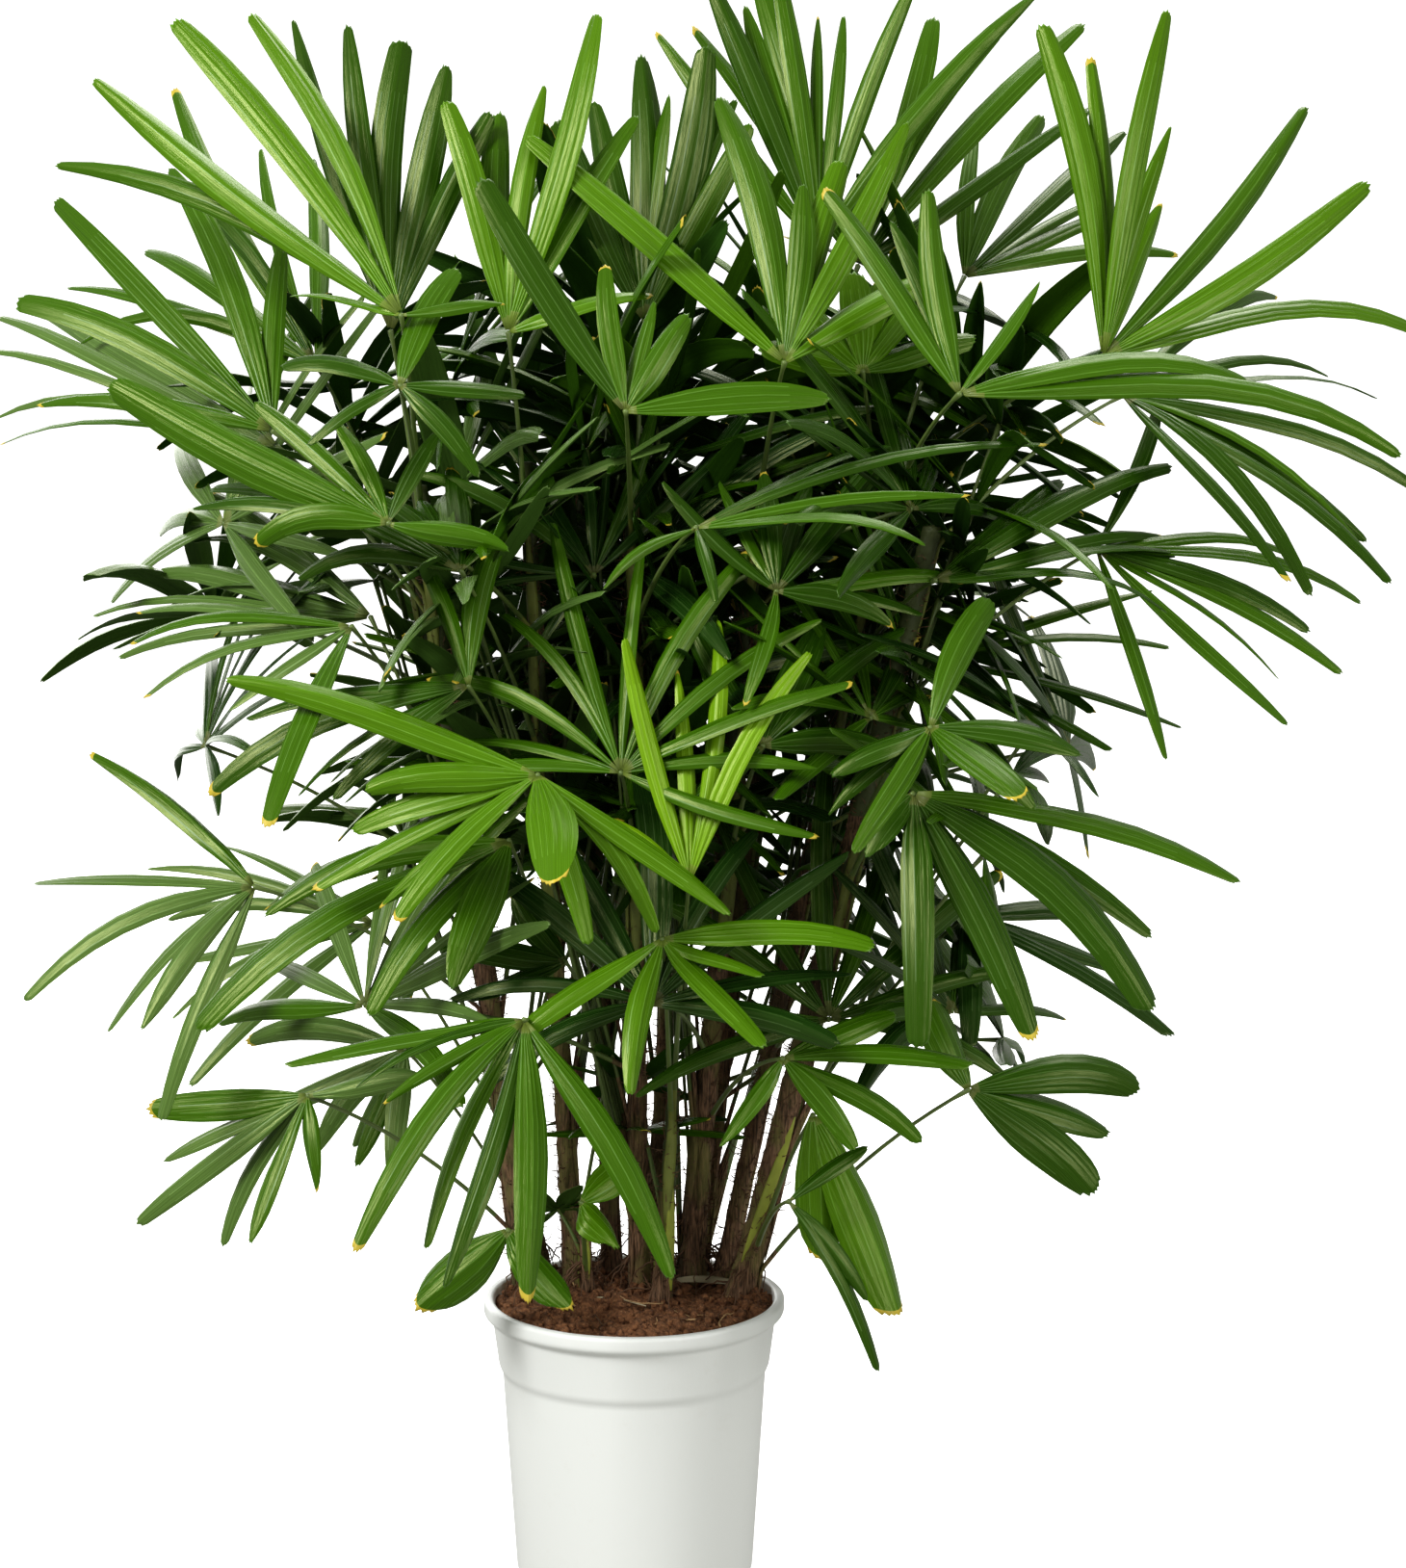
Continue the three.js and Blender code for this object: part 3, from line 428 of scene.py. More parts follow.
# %% Bark, fibre and dry litter
BARK_DARK = (0.052, 0.031, 0.015)
BARK_RED = (0.350, 0.205, 0.118)
BARK_OLIVE = (0.215, 0.205, 0.062)
bark = Finish("fibrous_bark", Roughness=0.85)
threads = bark.noise(bark.place((1, 1, 0.07)), scale=700, detail=4, roughness=0.6)
stains = bark.noise(bark.place((1, 1, 0.45)), scale=42, detail=3)
# Painted shade: large dark patches at random places over the bark stand for deep shade on the canes.
shade_patches = bark.noise(bark.place((1, 1, 0.3)), scale=19, detail=3, roughness=0.6)
fibre_brown = bark.mix(bark.ramp(threads, low=0.36, high=0.66), BARK_DARK, BARK_RED)
mottled = bark.mix(bark.ramp(stains, low=0.46, high=0.62) * 0.7, fibre_brown, BARK_OLIVE)
bark.feed("Base Color", bark.mix(bark.ramp(shade_patches, low=0.50, high=0.62) * 0.75, mottled, BARK_DARK))
bark.relief(threads, depth=0.0016)

CLOUDING = 0.4  # how much darker and lighter a plain finish clouds


def plain(name, colour, roughness, scale=90, depth=0):
    """A finish whose colour clouds between darker and lighter, with a fine relief if it has a depth."""
    finish = Finish(name, Roughness=roughness)
    clouds = finish.noise(finish.place(), scale, detail=3)
    darker, lighter = tinted(colour, 1 - CLOUDING), tinted(colour, 1 + CLOUDING)
    finish.feed("Base Color", finish.mix(clouds, darker, lighter))
    if depth:
        finish.relief(finish.noise(finish.place(), scale * 6), depth)
    return finish.material


hair = plain("cane_fibre", (0.175, 0.098, 0.052), roughness=0.8)
straw = plain("dry_straw", (0.42, 0.27, 0.13), roughness=0.7, scale=60, depth=0.0004)
root = plain("root_strand", (0.13, 0.07, 0.035), roughness=0.8)
dry_leaf = plain("dry_leaf", (0.36, 0.31, 0.20), roughness=0.7, scale=40, depth=0.0004)
young_bark = plain("green_bark", (0.060, 0.075, 0.020), roughness=0.6, scale=60, depth=0.0006)
sheath_green = plain("leaf_sheath", (0.190, 0.215, 0.045), roughness=0.5, scale=50, depth=0.0003)
print("finishes: bark, fibre, straw, root and sheath")

# %% Leaves
# Each tone is one plain colour, partly the leaves' own variety and partly painted light and shade: dusky
# and deep are painted shade for the fans that the light hardly reaches, and bright and the pale, greyer
# tone paint the light on fans that it reaches, at the top and on the left.
TONES = {
    "dusky": (0.017, 0.055, 0.006),
    "deep": (0.027, 0.082, 0.002),
    "leafy": (0.048, 0.130, 0.002),
    # painted light: a paler, greyer green for the fans on the left
    "dusty": (0.100, 0.180, 0.040),
    "bright": (0.080, 0.192, 0.003),
    "fresh": (0.165, 0.320, 0.006),
}
UNDERSIDE_GREEN = (0.050, 0.128, 0.016)
RIB_PALE = (0.26, 0.34, 0.10)
HEART_PALE = (0.25, 0.21, 0.07)  # where the ribs meet at the hub
TIP_YELLOW = (0.50, 0.39, 0.035)
LEAF_SHEEN = (0.96, 1.0, 0.50, 1)  # what a leaf mirrors of its green surroundings
STREAKING = 0.38  # how much darker and lighter the streaks are
GRAIN = (1.1, 0.012, 1)  # streaks to a millimetre across the leaf and along it
RIB_TINT = 1.3  # how much lighter than the blade a rib is


def leaf_finish(name, colour, roughness, refraction):
    """One side of a leaf, with fine streaks along its veins."""
    finish = Finish(name, IOR=refraction, Specular_Tint=LEAF_SHEEN)
    streaks = finish.noise(finish.grain(GRAIN), scale=1, detail=3, roughness=0.6)
    clouds = finish.noise(finish.place(), scale=14)
    streaked = finish.mix(streaks, tinted(colour, 1 - STREAKING), tinted(colour, 1 + STREAKING))
    finish.feed("Base Color", finish.mix(clouds * 0.5, streaked, tinted(colour, 0.7)))
    finish.feed("Roughness", roughness + streaks * 0.12)
    finish.relief(streaks, depth=0.0003)
    return finish.material


def towards(colour, other, share):
    """A colour that goes a share of the way to another."""
    return tuple(a + (b - a) * share for a, b in zip(colour, other))


leaf_sets = {}
for tone, colour in TONES.items():
    below = towards(colour, UNDERSIDE_GREEN, 0.4)
    ribbed = tinted(colour, RIB_TINT)
    leaf_sets[tone] = [
        leaf_finish(f"leaf_{tone}", colour, roughness=0.21, refraction=1.45),
        leaf_finish(f"underside_{tone}", below, roughness=0.5, refraction=1.16),
        plain(f"rib_{tone}", towards(ribbed, RIB_PALE, 0.10), roughness=0.4),
        plain(f"tip_{tone}", TIP_YELLOW, roughness=0.5),
        plain(f"heart_{tone}", towards(ribbed, HEART_PALE, 0.4), roughness=0.45),
    ]
BLADE, UNDER, RIB, TIP, HEART = range(5)
sheath_yellow = plain("old_leaf_sheath", (0.340, 0.380, 0.060), roughness=0.5, scale=50, depth=0.0003)
stalk_green = plain("leaf_stalk", (0.125, 0.180, 0.045), roughness=0.4, scale=30)
print("finishes:", len(leaf_sets), "tones of leaf, and stalks")

# %% [markdown]
# ## The pot
#
# A nursery pot is moulded in one piece: a rolled rim, a collar under it, a ledge, and a body that
# tapers to a rounded foot. It is a turned shape, so a profile is spun round the axis. The corners of
# the profile are rounded with short arcs, because the bright line along a rounded edge is what makes
# plastic look moulded.

# %% Spin the pot's profile
POT_HEIGHT = 233
POT_RIM_RADIUS = 120
RIM_BAND = 12
RIM_SLANT = 4  # how far its underside falls to the collar
RIM_WIDTH = 8
COLLAR_RADIUS = 113
LEDGE_RADIUS = 108
LEDGE_HEIGHT = 178
LEDGE_SLOPE = 5
SHOULDER_RADIUS = 105
BODY_RADIUS = 95.5
FOOT_RADIUS = 87
FOOT_ROUND = 18
POT_WALL = 3
POT_FLOOR = 4
ARC_STEPS = 6
ARC_MOST = 0.45  # of the edge beside it, the most that an arc takes
POT_COLUMNS = 160


def rounded(corners):
    """The profile with each corner (radius, height, rounding) replaced by a short arc."""
    corners = np.array(corners, float)
    profile = [corners[0, :2]]
    for before, corner, after in zip(corners, corners[1:], corners[2:]):
        middle = corner[:2]
        back, on = before[:2] - middle, after[:2] - middle
        reach = min(corner[2], ARC_MOST * np.linalg.norm(back), ARC_MOST * np.linalg.norm(on))
        start, end = middle + unit(back) * reach, middle + unit(on) * reach
        profile.extend(bow(start, middle, end, np.linspace(0, 1, ARC_STEPS)))
    profile.append(corners[-1, :2])
    return profile


band_foot = POT_HEIGHT - RIM_BAND
collar_inside = COLLAR_RADIUS - POT_WALL
pot_profile = rounded([
    (0, 0, 0),
    (FOOT_RADIUS, 0, 3),
    (BODY_RADIUS - 1, FOOT_ROUND * 0.45, 9),
    (SHOULDER_RADIUS, LEDGE_HEIGHT - LEDGE_SLOPE, 3),
    (LEDGE_RADIUS, LEDGE_HEIGHT + 1, 3),
    (COLLAR_RADIUS, band_foot - RIM_SLANT, 3),
    (POT_RIM_RADIUS, band_foot, 5),
    (POT_RIM_RADIUS, POT_HEIGHT, 3.5),
    (POT_RIM_RADIUS - RIM_WIDTH, POT_HEIGHT, 2.5),
    (collar_inside, band_foot, 6),
    (SHOULDER_RADIUS - POT_WALL, LEDGE_HEIGHT, 2),
    (BODY_RADIUS - POT_WALL, FOOT_ROUND, 8),
    (FOOT_RADIUS - 4, POT_FLOOR, 4),
    (0, POT_FLOOR, 0),
])
pot = Bunch()
pot.add(*turned(pot_profile, POT_COLUMNS))
seat(pot.make("nursery_pot", [white.material]), ["pot"])

# %% [markdown]
# ## The soil
#
# Peaty soil is a rough surface with clods, hollows and crumbs, and it rises a little round each cane.
# A flat disc with a bump map looks painted on, so the top is a fine grid that noise really lifts, and
# loose crumbs of many sizes lie on it.

# %% Where the soil lies
SOIL_TOP = 229
SOIL_EDGE = 227
SOIL_FLAT_RADIUS = 97
SOIL_RADIUS = 111  # at the edge, where the rim opens out
CLOD = 5.5
CLOD_SCALE = 0.055
CLOD_ROUGHNESS = (0.8, 2.1, 5)  # how clods of each smaller size fall off, their step, their number
HOLLOW_SCALE = 0.09
HOLLOW_WIDTH = 0.12
HOLLOW_DEPTH = 4
MOUND = 3.0  # round each cane
MOUND_REACH = 16
HEAP = ((-24, -50), 24, 9)  # a heap of clods: its middle, reach and height
CANES = {
    "left": dict(foot=(-86, 32), tip=(-165, 5), top=880, radius=9.5),
    "left_rear": dict(foot=(-76, 62), tip=(-190, 175), top=850, radius=7.5, extra=6, bearing=140),
    "left_inner": dict(foot=(-50, 48), tip=(-80, -35), top=900, radius=7.5, extra=1, bearing=200),
    "middle_rear": dict(foot=(-20, 72), tip=(-45, 120), top=930, radius=7, extra=6, bearing=105),
    "middle": dict(foot=(5, 30), tip=(0, -30), top=870, radius=7.5, extra=3, bearing=-70),
    "right_inner": dict(foot=(45, 54), tip=(100, 5), top=900, radius=9.5, extra=3, bearing=-20),
    "right_rear": dict(foot=(50, 82), tip=(135, 150), top=960, radius=7, extra=7, bearing=50),
    "right": dict(foot=(71, 60), tip=(205, 65), top=900, radius=7.5, extra=3, bearing=20),
    "leaning": dict(foot=(86, 18), tip=(232, -20), top=850, radius=11),
    "rear": dict(foot=(14, 94), tip=(45, 265), top=820, radius=7.5, extra=8, bearing=85),
    "cut_short": dict(foot=(22, 2), tip=(32, -12), top=405, radius=7.2),
    "small_shoot": dict(foot=(-38, 18), tip=(-40, 5), top=300, radius=5.2),
    "low_shoot": dict(foot=(-73, -10), tip=(-80, -24), top=272, radius=5),
}


def soil_height(x, y):
    """Height of the soil's surface at a place in the pot."""
    reach = math.hypot(x, y)
    fall = max(0.0, (reach - SOIL_FLAT_RADIUS) / (SOIL_RADIUS - SOIL_FLAT_RADIUS))
    level = SOIL_TOP - (SOIL_TOP - SOIL_EDGE) * fall
    near = min(math.hypot(x - c["foot"][0], y - c["foot"][1]) for c in CANES.values())
    # Each noise is read on a level slice of its own.
    clods = noise.fractal(Vector((x, y, 7)) * CLOD_SCALE, *CLOD_ROUGHNESS)
    hollows = abs(noise.noise(Vector((x, y, 31)) * HOLLOW_SCALE))
    level += CLOD * clods - HOLLOW_DEPTH * max(0.0, 1 - hollows / HOLLOW_WIDTH)
    middle, heap_reach, heap_height = HEAP
    heap = math.exp(-(math.dist((x, y), middle) / heap_reach) ** 4)
    return level + MOUND * math.exp(-(near / MOUND_REACH) ** 2) + heap_height * heap * (1 + clods)


# %% Lift the soil's grid
SOIL_RINGS = 64
SOIL_COLUMNS = 170
SOIL_INNERMOST = 1.2  # radius of the innermost ring
soil_side = [  # a little clear of the pot's inside
    (0, POT_FLOOR + 0.5),
    (FOOT_RADIUS - 5, POT_FLOOR + 0.5),
    (BODY_RADIUS - POT_WALL - 1, FOOT_ROUND + 4),
    (SHOULDER_RADIUS - POT_WALL - 0.8, LEDGE_HEIGHT),
    (collar_inside - 0.8, band_foot - 1),
]
soil_rings = [(r, SOIL_TOP) for r in np.linspace(SOIL_RADIUS, SOIL_INNERMOST, SOIL_RINGS)]
soil_points, soil_faces = turned(soil_side + soil_rings + [(0, SOIL_TOP)], SOIL_COLUMNS)
for point in soil_points:
    if point[2] == SOIL_TOP:
        point[2] = soil_height(*point[:2])
soil = Bunch()
soil.add(soil_points, soil_faces)
seat(soil.make("soil_bed", [earth.material]), ["soil"])

# %% Loose crumbs
CRUMBS = 1600
CRUMB_SIZE = (0.7, 5.6)
CRUMB_LUMPS = (0.55, 1.15)  # how far each corner stands out
CRUMB_SQUASH = (0.6, 1.1)  # along each axis
CRUMB_SEAT = 0.2  # how far its middle is above the soil, as a share of its size
GOLD = (1 + 5 ** 0.5) / 2
draw = np.random.default_rng(5)
twenty = np.array([
    (-1, GOLD, 0), (1, GOLD, 0), (-1, -GOLD, 0), (1, -GOLD, 0), (0, -1, GOLD), (0, 1, GOLD),
    (0, -1, -GOLD), (0, 1, -GOLD), (GOLD, 0, -1), (GOLD, 0, 1), (-GOLD, 0, -1), (-GOLD, 0, 1),
]) / GOLD
twenty_faces = np.array([
    (0, 11, 5), (0, 5, 1), (0, 1, 7), (0, 7, 10), (0, 10, 11), (1, 5, 9), (5, 11, 4), (11, 10, 2),
    (10, 7, 6), (7, 1, 8), (3, 9, 4), (3, 4, 2), (3, 2, 6), (3, 6, 8), (3, 8, 9), (4, 9, 5),
    (2, 4, 11), (6, 2, 10), (8, 6, 7), (9, 8, 1),
])


def place_on_soil(margin, innermost):
    """A place drawn evenly over the soil, no nearer to the pot's wall than the margin."""
    reach = (collar_inside - margin) * math.sqrt(draw.uniform(innermost, 1))
    return (reach * heading(draw.uniform(0, 2 * math.pi)))[:2]


crumb_bunch = Bunch()
for _ in range(CRUMBS):
    x, y = place_on_soil(4, 0.01)
    size = mix(*CRUMB_SIZE, draw.uniform() ** 3)
    lumps = twenty * size * draw.uniform(*CRUMB_LUMPS, (12, 3)) * draw.uniform(*CRUMB_SQUASH, 3)
    crumb_bunch.add(lumps + [x, y, soil_height(x, y) + size * CRUMB_SEAT], [twenty_faces])
seat(crumb_bunch.make("soil_crumbs", [earth.material]), ["soil"])

# %% [markdown]
# ## The canes
#
# Each cane is straight, thickens at its foot and is wrapped in the fibrous remains of its old leaf
# sheaths, one over the next like tiles. A plain cylinder with a bark picture would keep a smooth
# outline, so the tiles and the ridges of fibre are built into the tube, and fine hairs and crossing
# threads stand off it. The law for the cane's line and thickness is the one the solids follow.

# %% A cane's line and thickness
SOIL_GAP = 0.3
CANE_FOOT = SOIL_TOP + SOIL_GAP
CANE_TIP_SHARE = 0.72
FLARE_SHARE = 0.35
FLARE_HEIGHT = 22


def cane_share(cane, height):
    """How far up the cane a height is, from 0 at the soil to 1 at its tip."""
    return (height - CANE_FOOT) / (cane["top"] - CANE_FOOT)


def cane_point(cane, height):
    """Where the cane's middle line is at a height."""
    share = cane_share(cane, height)
    x, y = (mix(a, b, share) for a, b in zip(cane["foot"], cane["tip"]))
    return np.array([x, y, height], float)


def cane_radius(cane, height):
    """A taper to the tip, and a flare at the foot."""
    flare = FLARE_SHARE * math.exp(-max(height - CANE_FOOT, 0) / FLARE_HEIGHT)
    return cane["radius"] * (mix(1, CANE_TIP_SHARE, cane_share(cane, height)) + flare)


def beside_cane(cane, height, away, clear):
    """A point that far off the cane's surface, in a level direction."""
    return cane_point(cane, height) + away * (cane_radius(cane, height) + clear)


# %% Wrap each cane in its old sheaths
CANE_COLUMNS = 24
CANE_STEP = 4.2  # from ring to ring
BURIED = 6  # how far a cane goes down into the soil
TILE_PITCH = 34
TILE_ORIGIN = -500  # the height that the tiles are counted from
TILE_LIFT = 1.1
TILE_SLANT = 11
TILE_TURN = 2.1  # how far the slant turns from cane to cane
TILE_WIND = 90  # of height, in which it turns by a radian
RIDGE = 0.35
RIDGE_WAVE = 9
LUMP = 0.35
LUMP_SCALE = (2, 14)  # round the cane and up it
GREEN_FROM = 0.55  # of the way up; above it the sheaths are still green
CANE_STRAY = 0.03  # how far that differs from cane to cane
TILE_STRAY = 0.12  # and from tile to tile

turn = full_turn(CANE_COLUMNS)
spokes = np.array([heading(angle) for angle in turn])
cane_bunch = Bunch()
for order, cane in enumerate(CANES.values()):
    heights = np.arange(CANE_FOOT - BURIED, cane["top"], CANE_STEP)
    stripes = draw.uniform(-1, 1, CANE_COLUMNS)
    phase = draw.uniform(0, 6, CANE_COLUMNS)
    rings = []
    for height in heights:
        slant = height + TILE_SLANT * np.cos(turn - order * TILE_TURN - height / TILE_WIND)
        tile = np.modf((slant - TILE_ORIGIN) / TILE_PITCH)[0]
        ridge = stripes * np.sin(height / RIDGE_WAVE + phase)
        up = (0, 0, height / LUMP_SCALE[1] + 9 * order)
        lump = np.array([noise.noise(Vector(spoke * LUMP_SCALE[0] + up)) for spoke in spokes])
        clear = TILE_LIFT * (tile ** 2 - 0.5) + RIDGE * ridge + LUMP * lump
        rings.append(beside_cane(cane, height, spokes, clear[:, None]))
    ends = [cane_point(cane, heights[0]), cane_point(cane, cane["top"])]
    lower = heights[:-1]
    tile_of = ((lower - TILE_ORIGIN) // TILE_PITCH).astype(int)
    share = cane_share(cane, lower) + draw.uniform(-CANE_STRAY, CANE_STRAY)
    share += draw.uniform(-TILE_STRAY, TILE_STRAY, tile_of.max() + 1)[tile_of]
    green = np.repeat(share > GREEN_FROM, CANE_COLUMNS).astype(int)
    kinds = [green, np.zeros(CANE_COLUMNS, int), np.ones(CANE_COLUMNS, int)]  # side, foot and tip
    cane_bunch.add(np.concatenate([*rings, ends]), closed_faces(len(heights), CANE_COLUMNS), kinds)
CANE_NODES = [node for node in NODES if node.startswith("cane_")]
seat(cane_bunch.make("canes", [bark.material, young_bark]), CANE_NODES)

# %% Hairs and crossing threads
HAIR_SPACING = 1.1  # of cane for each hair
HAIR_LENGTH = (4.0, 13.0)
HAIR_RADII = (0.55, 0.44, 0.22)
HAIR_STRAY = 0.45
HAIR_RISE = 0.55
THREAD_SPACING = 30  # of cane for each thread
THREAD_LOWEST = (0, 0.85)  # of the way up
THREAD_RISE = (45, 110)
THREAD_WIND = (2.5, 5)  # radians round the cane
THREAD_RADIUS = 0.42
THREAD_STEPS = 22
hair_bunch = Bunch()
for cane in CANES.values():
    tall = cane["top"] - CANE_FOOT
    for _ in range(int(tall / HAIR_SPACING)):
        height = CANE_FOOT + 4 + tall * 0.96 * draw.uniform()
        away = heading(draw.uniform(0, 2 * math.pi))
        half = draw.uniform(*HAIR_LENGTH) * draw.uniform(0.5, 1) / 2
        lean = draw.normal(0, HAIR_STRAY, 3) + [0, 0, HAIR_RISE]
        start = beside_cane(cane, height, away, -0.6)
        middle = start + (away + lean / 2) * half
        end = middle + (away / 2 + lean) * half
        hair_bunch.add(*tube([start, middle, end], HAIR_RADII, 3))
    for k in range(int(tall / THREAD_SPACING)):
        low = CANE_FOOT + tall * draw.uniform(*THREAD_LOWEST)
        rise = draw.uniform(*THREAD_RISE)
        angle = draw.uniform(0, 2 * math.pi)
        wind = draw.uniform(*THREAD_WIND) * (1 if k % 2 else -1)
        path = []
        for t in np.linspace(0, 1, THREAD_STEPS):
            height = min(low + rise * t, cane["top"] - 2)
            clear = 0.5 + 0.4 * math.sin(9 * t + angle)
            # The last little rise keeps its points apart where the cane's top holds it down.
            path.append(beside_cane(cane, height, heading(angle + wind * t), clear) + [0, 0, t * 0.01])
        hair_bunch.add(*tube(path, np.full(THREAD_STEPS, THREAD_RADIUS), 3))
seat(hair_bunch.make("cane_fibres", [hair]), CANE_NODES)

# %% Strands of root on the soil
ROOT, STRAW, DRY = range(3)  # the litter's finishes
ROOTS_EACH = 10
ROOT_RISE = (6, 34)  # above the soil, where it leaves the cane
ROOT_REACH = (12, 34)
ROOT_STRAY = 4
ROOT_ARCH = (2, 14)
ROOT_WAVER = 0.7
ROOT_RADII = (0.9, 0.35)
ROOT_STEPS = 9


def kept_in(places, margin):
    """Places on the soil, drawn inwards where they are nearer to the pot's wall than the margin."""
    too_far = np.linalg.norm(places, axis=-1, keepdims=True) / (collar_inside - margin)
    return places / np.maximum(too_far, 1)


litter_bunch = Bunch()
for cane in CANES.values():
    for _ in range(ROOTS_EACH):
        away = heading(draw.uniform(0, 2 * math.pi))
        start = beside_cane(cane, CANE_FOOT + draw.uniform(*ROOT_RISE), away, -1)
        end = start + away * draw.uniform(*ROOT_REACH) + draw.normal(0, ROOT_STRAY, 3)
        end[:2] = kept_in(end[:2], 6)
        end[2] = soil_height(*end[:2]) - 2
        handle = (start + end) / 2 + away * 4 + [0, 0, draw.uniform(*ROOT_ARCH)]
        path = bow(start, handle, end, np.linspace(0, 1, ROOT_STEPS))
        path[1:-1] += draw.normal(0, ROOT_WAVER, (ROOT_STEPS - 2, 3))
        litter_bunch.add(*tube(path, np.linspace(*ROOT_RADII, ROOT_STEPS), 5), ROOT)

# %% Straw and dry leaves on the soil
STRAWS = 26
STRAW_LENGTH = (8, 36)
STRAW_BEND = 0.16  # of its length, to either side
STRAW_RADIUS = (0.35, 1.1)
STRAW_TAPER = 0.6
STRAW_STIFF = 0.6  # how nearly it stays level over the clods
STRAW_ABOVE = 1.2
STRAW_STEPS = 7
STRAW_SHARE = 0.6  # of the bits that lie about; the others are root
DRY_LEAVES = [  # ends and half the width
    ((34, 34), (84, 30), 3.4), ((60, 52), (36, 62), 2.4), ((-30, -14), (10, -34), 0.9),
]
DRY_FACES = np.array([0, -0.75, 0.66])
DRY_WAVES = (1.5, 2.2)  # sideways and up
DRY_STEPS = 12
STRIP_SIDES = 10


def strip(path, half_width, ends, fullness, facing, flatness):
    """A flat tube, broad side to a direction.

    Its width follows a sine between two ends, which are given as shares of half a turn.
    """
    swell = np.sin(np.linspace(*ends, len(path)) * math.pi) ** fullness
    return tube(path, half_width * swell, STRIP_SIDES, (facing, np.full(len(path), flatness)))


shares = np.linspace(-0.5, 0.5, STRAW_STEPS)[:, None]
for _ in range(STRAWS):
    place = place_on_soil(18, 0.02)
    along = heading(draw.uniform(0, 2 * math.pi))[:2]
    aside = along[::-1] * [-1, 1]
    length = draw.uniform(*STRAW_LENGTH)
    bend = draw.uniform(-STRAW_BEND, STRAW_BEND) * np.cos(shares * math.pi)
    places = kept_in(place + (along * shares + aside * bend) * length, 3)
    ground = np.array([soil_height(x, y) for x, y in places])
    path = np.column_stack([places, mix(ground, ground.max(), STRAW_STIFF) + STRAW_ABOVE])
    radius = draw.uniform(*STRAW_RADIUS)
    kind = STRAW if draw.uniform() < STRAW_SHARE else ROOT
    litter_bunch.add(*tube(path, np.linspace(radius, radius * STRAW_TAPER, STRAW_STEPS), 4), kind)
for (x0, y0), (x1, y1), half_width in DRY_LEAVES:
    t = np.linspace(0, 1, DRY_STEPS)
    ys = mix(y0, y1, t) + DRY_WAVES[0] * np.sin(5 * t)
    zs = SOIL_TOP + MOUND + 2 + DRY_WAVES[1] * np.sin(2.6 * t + 0.4)
    path = np.column_stack([mix(x0, x1, t), ys, zs])
    litter_bunch.add(*strip(path, half_width, (0.12, 0.9), 0.5, DRY_FACES, 0.1), DRY)
seat(litter_bunch.make("roots_and_straw", [root, straw, dry_leaf]), ["soil"])

# %% [markdown]
# ## Where the fans are
#
# The fans at the front are placed one by one: the cane, the tone, the hub where the leaflets meet,
# which way the fan's face looks, and the direction and length of each leaflet. The rest of the crown
# follows a rule: fans climb each cane and turn by the golden angle, so that no two stand in line. Both
# repeat what the solids are made from, down to the same stream of random numbers for each fan.

